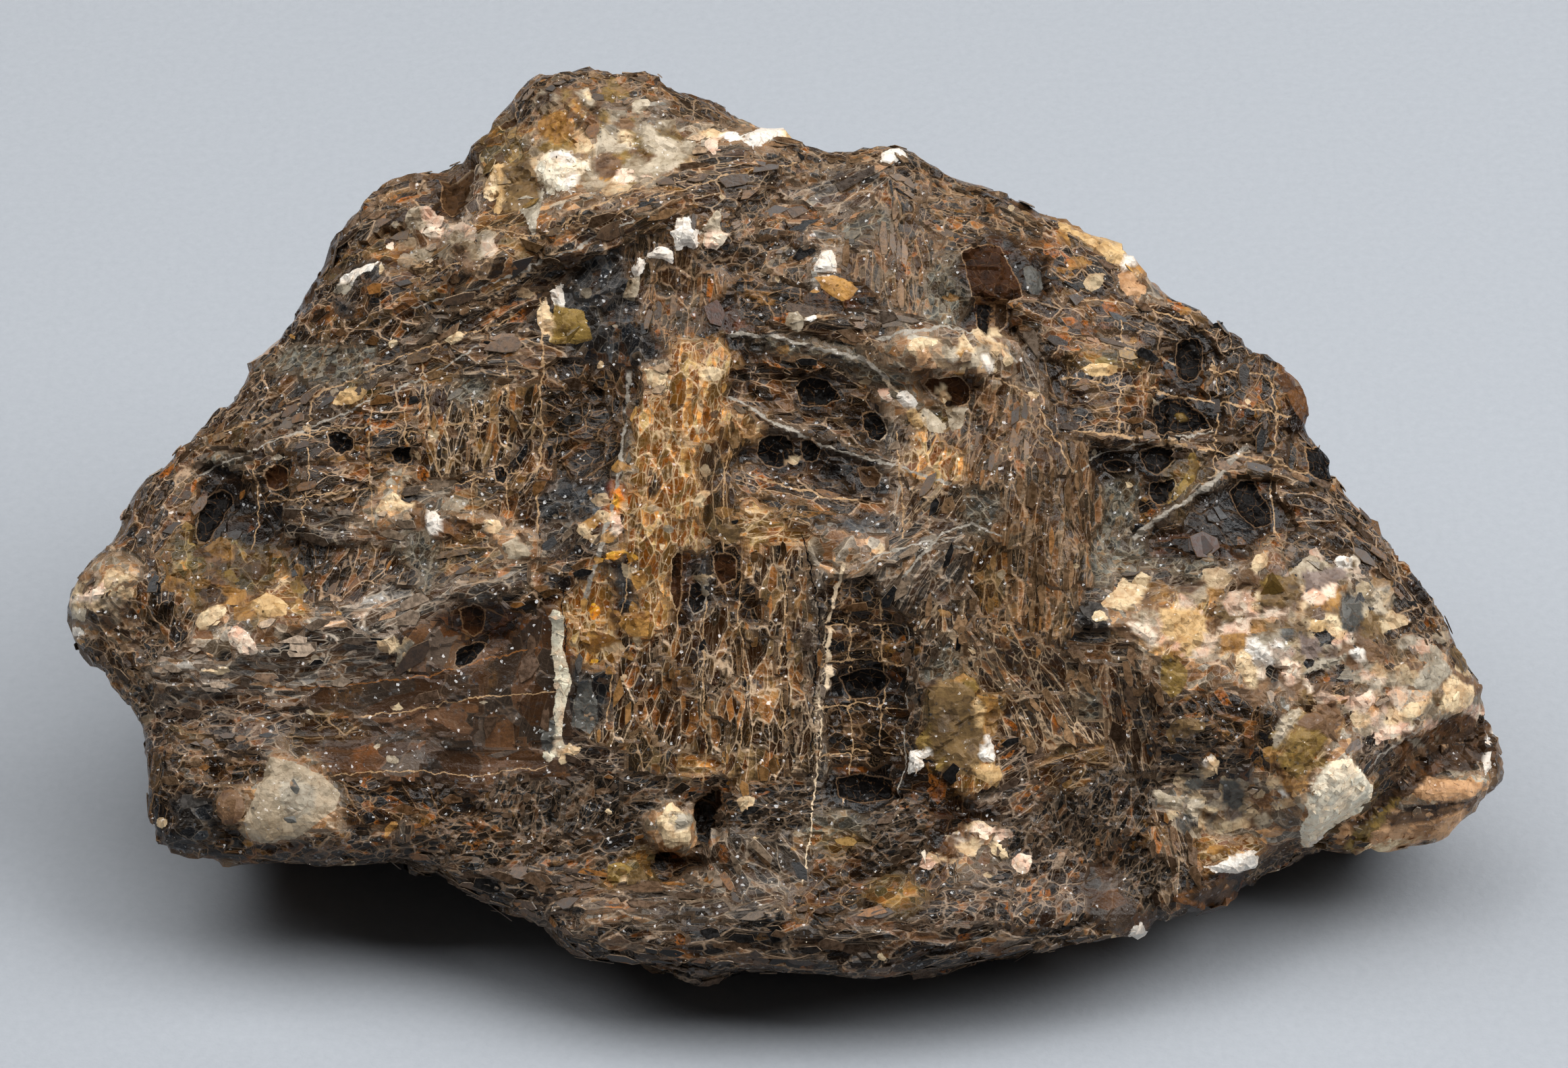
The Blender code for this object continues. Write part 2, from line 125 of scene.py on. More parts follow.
# The books of the face: kind, x, y, half length, half width, direction of the cleavage in degrees
# anticlockwise from the right, and for some how far they stand out of their surroundings in mm.
BOOKS = [
    # the peak, with its quartz and calcite
    ("coarse", 880, 122, 120, 26, 4), ("coarse", 1010, 152, 40, 40, -40, 0.1),
    ("quartz", 912, 214, 40, 26, 0, 0.2), ("quartz", 985, 228, 46, 28, -45, 0.2),
    ("quartz", 958, 160, 32, 14, 0, 0.1), ("coarse", 950, 185, 40, 18, 10, -0.2),
    ("cream", 836, 254, 42, 34, 20, 0.4), ("mixed", 820, 300, 60, 20, 10), ("amber", 820, 190, 46, 30, 60),
    ("mixed", 940, 246, 40, 24, 0, 0.1), ("cream", 1110, 204, 46, 11, 8, 0.3),
    ("mixed", 1040, 208, 32, 20, -10, 0.1), ("olive", 762, 262, 42, 52, 70, 0.3),
    ("olive", 775, 222, 45, 20, 35, 0.1), ("coarse", 790, 160, 30, 36, 50), ("silver", 690, 300, 20, 45, 70),
    ("red", 665, 280, 24, 50, 75, -0.3), ("strap", 610, 288, 55, 34, 5, 0.1),
    ("strap", 555, 330, 70, 30, 12, 0.1), ("mixed", 645, 340, 34, 18, 0, 0.3),
    # the strap of layered books below it
    ("strap", 1060, 262, 120, 26, 12, 0.5), ("fibre", 960, 300, 60, 26, 24, 0.3),
    ("strap", 860, 345, 120, 20, 26, 0.5), ("ochre", 740, 330, 80, 22, 12),
    ("strap", 730, 420, 100, 30, 32, 0.3), ("ochre", 770, 365, 60, 16, -20),
    ("cells", 560, 450, 110, 50, 15, 0.1), ("ochre", 600, 370, 90, 26, 10),
    ("steel", 545, 412, 34, 20, 10, -0.1), ("steel", 505, 455, 22, 26, 60, -0.1),
    ("green", 480, 545, 60, 34, 20), ("ochre", 640, 440, 40, 26, 0), ("strap", 700, 480, 90, 22, 28, 0.2),
    ("silver", 640, 505, 110, 10, 28, 0.2),
    # brown rock between the strap and the right shoulder
    ("silver", 1250, 290, 120, 26, 32, 0.2), ("strap", 1190, 330, 90, 20, 20),
    ("coarse", 1320, 240, 80, 26, -15), ("coarse", 1180, 240, 90, 18, 0, 0.1),
    ("fibre", 1340, 380, 60, 90, 86), ("steel", 1325, 385, 20, 40, 80, -0.1),
    ("silver", 1240, 345, 70, 16, -10, 0.2), ("green", 1290, 330, 50, 16, 20, 0.1),
    ("fibre", 1010, 440, 70, 50, 84, 0.1), ("red", 1080, 470, 50, 30, 70), ("dark", 1130, 450, 70, 26, 5),
    ("red", 1240, 440, 60, 20, 0, 0.2), ("coarse", 1110, 380, 60, 36, 30), ("steel", 890, 425, 40, 26, 50),
    ("steel", 900, 485, 60, 60, 84, -0.3), ("fibre", 965, 440, 22, 60, 80, 0.1),
    ("strap", 1230, 485, 80, 14, -6, 0.2), ("quartz", 1225, 395, 18, 18, 0, 0.4),
    ("coarse", 1410, 270, 60, 26, -25, 0.1), ("coarse", 1480, 320, 70, 20, -20),
    # the upper left flank, a net of cells
    ("cells", 420, 590, 100, 32, 25), ("silver", 480, 605, 190, 9, 25, 0.3),
    ("olive", 530, 580, 34, 16, 25, 0.1), ("cells", 330, 620, 60, 30, 35),
    ("ochre", 345, 640, 44, 18, 20, 0.1), ("cells", 450, 660, 120, 40, 8),
    ("dark", 530, 655, 52, 22, 5, -0.4), ("cells", 590, 640, 60, 50, 8, 0.1),
    ("tall", 655, 640, 40, 80, 84, 0.1), ("tall", 730, 640, 60, 70, 80), ("green", 700, 590, 40, 22, 40),
    ("ochre", 650, 545, 40, 22, 10), ("strap", 740, 530, 90, 22, 4, 0.2), ("cells", 770, 700, 50, 60, 70),
    ("dark", 420, 700, 40, 45, 88, -0.3), ("black", 322, 715, 36, 24, 10, -0.5),
    ("black", 310, 775, 34, 30, 40, -0.6), ("black", 375, 770, 40, 22, 10, -0.4),
    ("cells", 250, 745, 46, 60, 60), ("green", 350, 680, 60, 9, 25, 0.3), ("cells", 500, 710, 70, 30, 15),
    ("dark", 590, 685, 26, 16, 0, -0.3), ("silver", 490, 785, 50, 17, -8, 0.6),
    ("silver", 580, 788, 70, 13, -4, 0.5), ("cream", 585, 742, 32, 20, 20, 0.4),
    ("silver", 640, 735, 40, 14, 10, 0.2), ("ochre", 690, 735, 50, 18, -5), ("olive", 345, 828, 40, 36, 80),
    ("olive", 275, 840, 30, 50, 80, 0.1), ("ochre", 345, 880, 60, 20, -15),
    ("amber", 403, 900, 32, 20, 0, 0.3), ("dark", 470, 830, 30, 30, 80, -0.2),
    ("cells", 540, 835, 60, 30, 60), ("green", 630, 800, 24, 44, 70, 0.2), ("ochre", 700, 830, 50, 26, 20),
    ("cream", 735, 782, 22, 12, -10, 0.3), ("cream", 765, 812, 30, 20, -20, 0.4),
    ("cells", 230, 880, 40, 60, 85, 0.1),
    # the cells right of the long crack
    ("dark", 850, 575, 40, 40, -20, -0.5), ("dark", 880, 640, 60, 50, 3, -0.4),
    ("dark", 915, 600, 26, 80, 84, -0.5), ("steel", 850, 740, 50, 30, 10, -0.2),
    ("silver", 850, 790, 50, 26, 35, 0.1), ("cells", 800, 850, 60, 24, 20),
    # the amber column
    ("amber", 1040, 590, 50, 80, 82, 0.3), ("mixed", 975, 565, 32, 24, 0, 0.3),
    ("amber", 985, 680, 46, 80, 80, 0.2), ("green", 925, 650, 10, 120, 82, 0.3),
    ("ochre", 1060, 690, 26, 100, 84, 0.1), ("flame", 918, 742, 14, 28, 70, 0.1),
    ("mixed", 915, 785, 20, 22, 60, 0.2), ("amber", 960, 800, 40, 70, 80, 0.1),
    ("amber", 880, 905, 22, 30, 80), ("amber", 885, 960, 30, 34, 80, 0.1),
    ("amber", 945, 925, 22, 30, 80, 0.1), ("tall", 930, 1010, 34, 80, 82), ("steel", 925, 870, 16, 40, 85),
    ("steel", 880, 1020, 24, 40, 85),
    # the long drawn-out cells below it
    ("red", 1010, 880, 16, 44, 80, -0.4), ("steel", 1035, 885, 16, 40, 80, -0.2),
    ("dark", 1075, 850, 22, 50, 84, -0.3), ("tall", 1060, 950, 50, 70, 84),
    ("dark", 1115, 890, 24, 30, 60, -0.3), ("tall", 1150, 860, 30, 90, 86, 0.1),
    ("amber", 1140, 790, 40, 26, 10), ("tall", 1130, 1040, 60, 90, 86),
    ("tall", 1010, 1060, 60, 60, 84, 0.1), ("amber", 1030, 1130, 36, 16, 0),
    ("tall", 1185, 990, 26, 110, 88, 0.1), ("red", 1000, 1020, 22, 24, 84, -0.2),
    ("ochre", 960, 1110, 40, 36, 84), ("crumb", 960, 1180, 80, 30, 10, -0.1),
    ("dusk", 890, 1130, 34, 18, 0, 0.1), ("crumb", 870, 1200, 50, 40, 60),
    # the upper window of black cells
    ("black", 1120, 520, 36, 20, 85, -0.4), ("black", 1222, 586, 46, 17, -6, -0.5),
    ("black", 1150, 668, 30, 28, 0, -0.6), ("black", 1206, 678, 24, 24, 80, -0.5),
    ("black", 1298, 622, 16, 34, 84, -0.5), ("cells", 1140, 580, 50, 22, -5, -0.3),
    ("cells", 1230, 640, 70, 18, -20, -0.4), ("cells", 1210, 550, 90, 18, -14, -0.2),
    ("dark", 1270, 600, 30, 26, 0, -0.3), ("black", 1290, 705, 26, 24, 60, -0.4),
    ("silver", 1325, 640, 12, 60, 78), ("cells", 1200, 735, 70, 24, -14, -0.2),
    ("green", 1190, 517, 110, 8, -13, 0.4), ("green", 1300, 556, 50, 12, -30, 0.4),
    ("cream", 1345, 592, 44, 13, -50, 0.5), ("silver", 1160, 632, 60, 7, -28, 0.3),
    ("silver", 1270, 676, 80, 8, -14, 0.3), ("silver", 1340, 712, 50, 7, -28, 0.2),
    ("silver", 1330, 730, 14, 50, 70), ("ochre", 1210, 770, 70, 14, -16, 0.1),
    ("steel", 1250, 785, 46, 14, -8, 0.1), ("mixed", 1240, 815, 60, 14, 6, 0.2),
    # cream crystals and the swirl to the right of the window
    ("cream", 1375, 512, 46, 16, -8, 0.3), ("mixed", 1380, 545, 40, 20, -30, 0.2),
    ("mixed", 1465, 520, 40, 22, -20, 0.2), ("red", 1405, 578, 36, 18, 0, -0.3),
    ("olive", 1395, 625, 28, 22, 40, 0.2), ("silver", 1330, 478, 120, 9, -14, 0.3),
    ("amber", 1385, 690, 40, 40, 80, 0.1), ("flaky", 1380, 740, 50, 30, 60),
    ("silver", 1340, 810, 70, 20, 30, 0.3), ("silver", 1360, 860, 50, 40, 62, 0.2),
    ("green", 1450, 760, 36, 26, -40, 0.2), ("ochre", 1475, 860, 32, 44, 84, 0.2),
    # the fibrous buttress
    ("fibre", 1510, 690, 70, 100, 86, 0.4), ("fibre", 1575, 780, 40, 130, 88, 0.6),
    ("fibre", 1440, 640, 60, 60, 80, 0.2), ("fibre", 1540, 900, 70, 70, 86, 0.4),
    ("red", 1465, 470, 34, 34, 88, -0.7), ("silver", 1530, 540, 12, 70, 112, 0.3),
    ("dark", 1570, 600, 18, 50, 110, -0.3), ("flaky", 1510, 980, 70, 60, 118, 0.1),
    ("flaky", 1560, 1060, 80, 50, 116), ("flaky", 1400, 920, 40, 50, 80, 0.1),
    ("ochre", 1580, 1140, 50, 34, 20), ("dusk", 1500, 1150, 60, 50, 30),
    # the lower window and the olive slab beside it
    ("dark", 1280, 900, 50, 40, 6, -0.3), ("dark", 1280, 960, 50, 30, 4, -0.4),
    ("black", 1288, 1012, 44, 26, 0, -0.6), ("dark", 1280, 1080, 55, 40, -8, -0.4),
    ("black", 1280, 1165, 50, 30, 4, -0.8), ("silver", 1212, 1010, 9, 160, 86, 0.4),
    ("olive", 1425, 1060, 44, 70, 88, 0.4), ("amber", 1455, 1130, 30, 40, 80, 0.3),
    ("crumb", 1370, 1000, 18, 70, 86, 0.1), ("red", 1400, 1170, 70, 24, -6),
    ("green", 1390, 990, 30, 34, 60),
    # the upper right flank
    ("coarse", 1400, 330, 70, 34, -15), ("dark", 1480, 300, 60, 18, -10, -0.1),
    ("red", 1470, 395, 46, 42, 20, 0.3), ("black", 1532, 410, 20, 30, 60, 0.1),
    ("green", 1400, 430, 24, 60, 84, 0.1), ("cells", 1600, 400, 80, 40, -28),
    ("amber", 1640, 372, 70, 12, -32, 0.4), ("cells", 1560, 480, 80, 34, -12, 0.1),
    ("cells", 1680, 470, 90, 34, -18), ("mixed", 1680, 425, 30, 22, -40, 0.2),
    ("olive", 1640, 540, 44, 18, 0, 0.1), ("strap", 1640, 512, 80, 10, -6, 0.1),
    ("cells", 1660, 600, 70, 50, 10), ("black", 1765, 530, 26, 42, 88, -0.4),
    ("cells", 1830, 510, 30, 40, 60), ("black", 1745, 612, 52, 26, -5, -0.5),
    ("green", 1755, 615, 12, 10, 0, 0.1), ("dark", 1850, 600, 46, 60, 80),
    ("red", 1922, 595, 18, 50, 80, 0.1), ("strap", 1740, 648, 150, 9, -2, 0.3),
    ("black", 1722, 676, 38, 22, 10, -0.4), ("black", 1735, 722, 30, 28, 40, -0.5),
    ("black", 1645, 688, 30, 14, 0, -0.3), ("olive", 1757, 712, 18, 42, 66),
    ("dark", 1700, 770, 40, 20, 15, -0.2), ("silver", 1775, 735, 100, 9, 38, 0.4),
    ("black", 1845, 748, 56, 50, 10, -0.7), ("strap", 1880, 700, 110, 10, -8, 0.3),
    ("dark", 1960, 690, 30, 30, 80), ("cells", 1960, 750, 80, 30, -30, 0.1),
    ("cells", 2010, 800, 60, 26, -38, 0.1), ("coarse", 1930, 820, 60, 22, 0),
    ("red", 1770, 820, 70, 14, -4, 0.1),
    # the grey-green wedge and the layers under it
    ("green", 1660, 790, 34, 52, 70), ("green", 1640, 840, 50, 22, 0),
    ("green", 1760, 845, 100, 14, -2, 0.2), ("silver", 1690, 875, 100, 20, 4, 0.2),
    # the pale granular bench
    ("steel", 1625, 920, 36, 16, -10, 0.2), ("cream", 1690, 936, 40, 20, -20, 0.4),
    ("amber", 1765, 925, 44, 46, 60, 0.2), ("strap", 1640, 950, 60, 12, -4),
    ("mixed", 1830, 850, 90, 18, 12, 0.2), ("ochre", 1860, 895, 70, 26, 18, 0.1),
    ("mixed", 1930, 900, 60, 30, 15, 0.2), ("steel", 1935, 855, 44, 18, 15, 0.1),
    ("steel", 2008, 905, 28, 28, 60), ("quartz", 2045, 880, 16, 24, 60, 0.2),
    ("steel", 1930, 965, 60, 28, 10, 0.1), ("cells", 2080, 870, 34, 90, 130, 0.1),
    ("cream", 1845, 1000, 26, 36, 60, 0.4), ("mixed", 1780, 980, 40, 30, 30, 0.1),
    ("dark", 1975, 1010, 60, 14, 6, -0.1), ("mixed", 1900, 1020, 30, 40, 70, 0.1),
    ("mixed", 2020, 1050, 34, 30, 30, 0.3), ("coarse", 2090, 950, 40, 50, 120),
    ("mixed", 2130, 1010, 46, 40, 130, 0.2), ("ochre", 2160, 1000, 24, 60, 130, 0.1),
    ("mixed", 2090, 1060, 70, 26, 36, 0.1), ("cells", 1980, 1050, 34, 30, 30),
    ("amber", 1935, 1100, 40, 44, 60, 0.3), ("quartz", 1905, 1062, 14, 40, 62, 0.4),
    ("cream", 1975, 1165, 40, 62, 54, 0.4), ("dusk", 2030, 1110, 50, 24, 40, 0.1),
    # broken books in front of the bench
    ("dark", 1830, 1070, 50, 36, -20, -0.2), ("strap", 1670, 1060, 40, 90, 100, 0.2),
    ("crumb", 1760, 1070, 46, 36, 20, 0.1), ("crumb", 1770, 1130, 50, 24, 10),
    ("quartz", 1755, 1185, 50, 20, 0, 0.3), ("steel", 1780, 1160, 24, 10, 10, 0.2),
    ("steel", 1825, 1172, 22, 28, 80, 0.2), ("mixed", 1880, 1170, 40, 24, 0, 0.2),
    ("mixed", 1870, 1225, 50, 24, -10, 0.1), ("strap", 1735, 1240, 34, 70, 104, 0.2),
    ("dark", 1870, 1110, 20, 50, 84, -0.2), ("green", 1620, 1040, 30, 20, 0, 0.1),
    ("crumb", 1660, 1200, 60, 50, 70), ("crumb", 1600, 1230, 60, 40, 80),
    ("amber", 1815, 1262, 46, 16, 10, 0.3), ("crumb", 1690, 1290, 40, 40, 60),
    # below the break at the right end
    ("olive", 2020, 1190, 90, 12, 38), ("dark", 2150, 1090, 50, 30, 20),
    ("dark", 2060, 1160, 60, 14, 40, -0.2), ("coarse", 1930, 1265, 70, 16, 24),
    ("mixed", 2100, 1210, 70, 20, 8), ("cream", 2135, 1174, 50, 12, 0, 0.2),
    # the silvery band, the smooth plate and the square cliff at the left
    ("mica", 330, 1000, 90, 34, 0, 0.1), ("mica", 480, 975, 100, 34, 6, 0.1),
    ("mica", 620, 900, 90, 24, 22, 0.1), ("silver", 740, 860, 80, 16, 14, 0.2),
    ("mixed", 360, 935, 54, 26, 10, 0.3), ("silver", 260, 1010, 46, 12, -8, 0.4),
    ("plate", 640, 960, 60, 30, 50), ("red", 700, 920, 40, 26, 20, -0.2),
    ("plate", 640, 1040, 130, 40, 10, 0.1), ("plate", 760, 1040, 60, 60, 80, 0.1),
    ("plate", 730, 1130, 90, 30, -2), ("ochre", 500, 1080, 50, 24, 8, 0.1),
    ("plate", 560, 1120, 60, 30, 10, 0.1), ("dusk", 330, 1070, 80, 30, 4, 0.1),
    ("ochre", 300, 1090, 40, 14, 0), ("coarse", 285, 1150, 34, 40, 0, 0.2), ("dark", 350, 1140, 34, 14, 0),
    ("cream", 430, 1192, 60, 52, 0, 0.3), ("ochre", 345, 1197, 26, 26, 0, 0.4),
    ("steel", 275, 1215, 32, 26, 0), ("dark", 345, 1240, 34, 16, 0, -0.2), ("dark", 230, 1190, 20, 60, 84),
    ("dark", 590, 1190, 90, 30, -10, -0.3), ("crumb", 560, 1250, 110, 22, 0, -0.1),
    ("crumb", 780, 1180, 50, 50, 70), ("silver", 600, 1230, 14, 34, 88, 0.3),
    ("crumb", 720, 1240, 60, 34, 10), ("dark", 340, 1265, 110, 10, 0, -0.2),
    # the knob at the far left
    ("cream", 160, 858, 46, 16, 26, 0.4), ("coarse", 130, 875, 40, 30, 40), ("steel", 115, 910, 20, 14, 0),
    ("cream", 125, 938, 28, 8, -20, 0.2), ("coarse", 180, 960, 50, 36, -40),
    ("coarse", 180, 1010, 46, 20, -30), ("cells", 200, 770, 20, 60, 80),
    # the cavity and the crumbly rock along the bottom
    ("dark", 1046, 1219, 13, 28, 88, -1.2), ("cream", 1000, 1222, 24, 34, 84, 0.5),
    ("dark", 1012, 1284, 36, 10, 0, -0.8), ("olive", 930, 1288, 26, 22, 40, 0.4),
    ("crumb", 880, 1262, 60, 30, 20, 0.1), ("silver", 1120, 1290, 60, 50, 130, 0.2),
    ("crumb", 1150, 1200, 70, 30, 10), ("green", 1240, 1225, 44, 14, 0, 0.2),
    ("olive", 1250, 1250, 46, 12, 0, 0.1), ("dark", 1240, 1310, 60, 34, 30, -0.3),
    ("crumb", 1320, 1250, 50, 30, 20), ("olive", 1330, 1330, 40, 24, 60),
    ("red", 1430, 1230, 44, 24, 30, -0.1), ("mixed", 1450, 1260, 44, 20, 20, 0.2),
    ("dusk", 1440, 1340, 90, 34, 10, 0.2), ("dusk", 1560, 1330, 70, 40, 60, 0.1),
    ("plate", 1640, 1330, 40, 40, 20, 0.2), ("crumb", 1540, 1240, 60, 34, 60),
    ("red", 1800, 1325, 50, 26, -10), ("coarse", 1620, 1390, 70, 14, 0, 0.1),
    ("ledge", 760, 1310, 130, 20, -10, 0.1), ("ledge", 900, 1340, 90, 20, 0, 0.3),
    ("silver", 1000, 1360, 130, 14, 4, 0.4), ("ledge", 940, 1395, 110, 18, -3, 0.3),
    ("ledge", 1130, 1400, 140, 26, 0, 0.4), ("ledge", 1300, 1390, 120, 26, 6, 0.3),
    ("ledge", 1480, 1400, 130, 16, 14, 0.3), ("dark", 1380, 1300, 26, 40, 70, -0.2),
]

# The pale and dark grains that grew between the books: crushed feldspar, calcite, quartz and amber
# bannisterite. Light and deep tone of each.
PALE_TONES = {
    "white": (tone(255, 214, 205), tone(242, 204, 188)),
    "cream": (tone(224, 196, 158), tone(172, 138, 100)),
    "pink": (tone(238, 204, 182), tone(202, 158, 132)),
    "grey": (tone(170, 160, 142), tone(116, 106, 90)),
    "clear": (tone(172, 158, 136), tone(100, 84, 62)),
    "amber": (tone(176, 130, 68), tone(98, 63, 24)),
    "flame": (tone(236, 164, 52), tone(190, 104, 20)),
    "olive": (tone(138, 112, 58), tone(78, 58, 26)),
    "brown": (tone(120, 92, 66), tone(72, 50, 34)),
    "peach": (tone(198, 156, 116), tone(152, 112, 76)),
    "rust": (tone(112, 72, 36), tone(52, 31, 15)),
    "slate": (tone(92, 90, 84), tone(46, 45, 42)),
    "umber": (tone(74, 52, 33), tone(30, 20, 12)),
    "jet": (tone(20, 17, 15), tone(7, 6, 6)),
    "garnet": (tone(60, 36, 20), tone(19, 11, 6)),
    "milky": (tone(192, 178, 156), tone(140, 126, 103)),
    "calcite": (tone(255, 212, 192), tone(244, 196, 166)),
    "shell": (tone(246, 214, 190), tone(186, 160, 132)),
    "quartz": (tone(170, 154, 131), tone(130, 115, 93)),
    "honey": (tone(204, 172, 124), tone(156, 120, 74)),
    "slab": (tone(124, 99, 64), tone(70, 54, 35)),
    "violet": (tone(134, 118, 108), tone(92, 78, 71)),
}

# Each grain: tone, x, y, half width, half height, turn in degrees, how far it stands out in mm,
# and the size of the shards that lie loose on it in mm.
GRAINS = [
    # the peak
    ("clear", 872, 146, 10, 10, 0, 0.3, 0.5), ("pink", 930, 258, 30, 14, 5, 0.2, 0.5),
    ("amber", 905, 250, 18, 16, 0, 0.3, 0.7), ("cream", 1060, 205, 18, 10, -20, 0.3, 0.5),
    ("amber", 820, 190, 24, 22, 60, 0.1, 0.8), ("grey", 785, 300, 14, 26, 70, 0.3, 0.8),
    # under the strap
    ("white", 826, 438, 10, 20, 75, 0.6, 0.5), ("cream", 806, 470, 8, 20, 70, 0.5, 0.5),
    ("olive", 838, 482, 26, 30, 60, 0.4, 1.1), ("white", 524, 412, 22, 8, 28, 0.5, 0.5),
    ("grey", 510, 426, 14, 8, 20, 0.3, 0.5), ("cream", 672, 504, 14, 10, 0, 0.4, 0.5),
    ("pink", 645, 342, 16, 8, 0, 0.5, 0.4), ("white", 1322, 236, 17, 11, 0, 0.5, 0.5),
    ("clear", 1180, 478, 14, 10, 0, 0.3, 0.6), ("white", 1206, 474, 8, 6, 0, 0.3, 0.4),
    # the left flank
    ("cream", 575, 953, 14, 8, 0, 0.4, 0.5), ("cream", 604, 968, 10, 20, 60, 0.4, 0.6),
    ("flame", 880, 904, 8, 10, 0, 0.2, 0.4), ("amber", 880, 950, 16, 18, 80, 0.2, 0.8),
    ("amber", 945, 925, 14, 18, 80, 0.2, 0.8), ("amber", 948, 860, 10, 16, 80, 0.2, 0.7),
    ("cream", 842, 1120, 20, 10, 40, 0.4, 0.6), ("cream", 975, 565, 16, 12, 0, 0.3, 0.6),
    # the knob
    ("cream", 160, 866, 26, 9, 28, 0.4, 0.7), ("pink", 142, 878, 24, 7, 28, 0.4, 0.6),
    ("grey", 116, 912, 12, 9, 0, 0.3, 0.5), ("white", 112, 936, 12, 5, -10, 0.3, 0.4),
    # the square cliff and the bottom
    ("slate", 436, 1172, 12, 12, 0, 0.15, 1.0), ("slate", 424, 1206, 8, 8, 0, 0.15, 1.0),
    ("cream", 999, 1222, 15, 24, 85, 0.8, 0.9), ("grey", 1008, 1212, 12, 10, 0, 0.7, 0.7),
    ("olive", 918, 1294, 20, 14, 30, 0.5, 0.6), ("cream", 1106, 1190, 14, 10, -20, 0.5, 0.6),
    ("white", 1018, 1166, 8, 4, 0, 0.4, 0.3), ("pink", 1455, 1238, 14, 14, 60, 0.5, 0.5),
    ("pink", 1512, 1278, 14, 12, 0, 0.4, 0.5), ("cream", 1480, 1262, 10, 8, 0, 0.3, 0.5),
    ("pink", 1372, 1277, 10, 10, 0, 0.3, 0.5),
    # the bench
    ("cream", 1660, 900, 16, 8, -10, 0.3, 0.6), ("cream", 1632, 915, 16, 7, 0, 0.3, 0.5),
    ("grey", 1962, 985, 30, 6, 20, 0.3, 0.6), ("grey", 2120, 1005, 26, 20, 30, 0.3, 0.9),
    ("cream", 2155, 1035, 24, 20, 40, 0.3, 0.7), ("cream", 2080, 1062, 30, 12, 36, 0.3, 0.6),
    ("pink", 2060, 1085, 24, 10, 36, 0.3, 0.6), ("brown", 1962, 1070, 30, 24, 40, 0.3, 1.6),
    ("clear", 1940, 850, 30, 18, 10, 0.2, 1.2), ("olive", 1890, 872, 30, 18, 15, 0.2, 1.4),
    ("pink", 1960, 880, 24, 12, 10, 0.2, 0.5), ("cream", 1975, 930, 20, 12, -40, 0.2, 0.5),
    # in front of the bench
    ("amber", 1812, 1262, 22, 8, 0, 0.4, 0.6), ("clear", 1872, 1216, 12, 14, 60, 0.3, 0.7),
    ("white", 1790, 1128, 6, 10, 70, 0.3, 0.4),
    # the white vein beside the amber column, and a few veins more
    ("slate", 812, 1090, 10, 34, 86, 0.0, 0.4), ("grey", 826, 914, 10, 8, 0, 0.2, 0.4),
    ("slate", 868, 1050, 18, 40, 86, 0.0, 0.5),
    # below the break: dark layers, two tongues of peach calcite and a pale lump
    ("umber", 2140, 1120, 70, 16, 40, 0.0, 0.8), ("rust", 2120, 1142, 40, 7, 40, 0.0, 0.6),
    ("umber", 2165, 1128, 30, 14, 10, 0.0, 0.8), ("peach", 2142, 1172, 60, 15, -3, 0.5, 0.4),
    ("peach", 2086, 1228, 112, 22, 12, 0.4, 0.4), ("brown", 2100, 1206, 80, 9, 8, 0.1, 0.4),
    ("cream", 2030, 1252, 50, 7, 10, 0.3, 0.4), ("umber", 2130, 1192, 66, 4, 4, -0.3, 0.4),
    ("rust", 2000, 1246, 44, 8, 40, 0.0, 0.5), ("umber", 2060, 1184, 56, 8, 42, 0.0, 0.5),
    ("olive", 2036, 1216, 46, 9, 38, 0.0, 0.5), ("rust", 1800, 1330, 40, 18, 0, 0.2, 0.8),
    ("umber", 1790, 1320, 30, 14, 10, 0.1, 0.8),
]

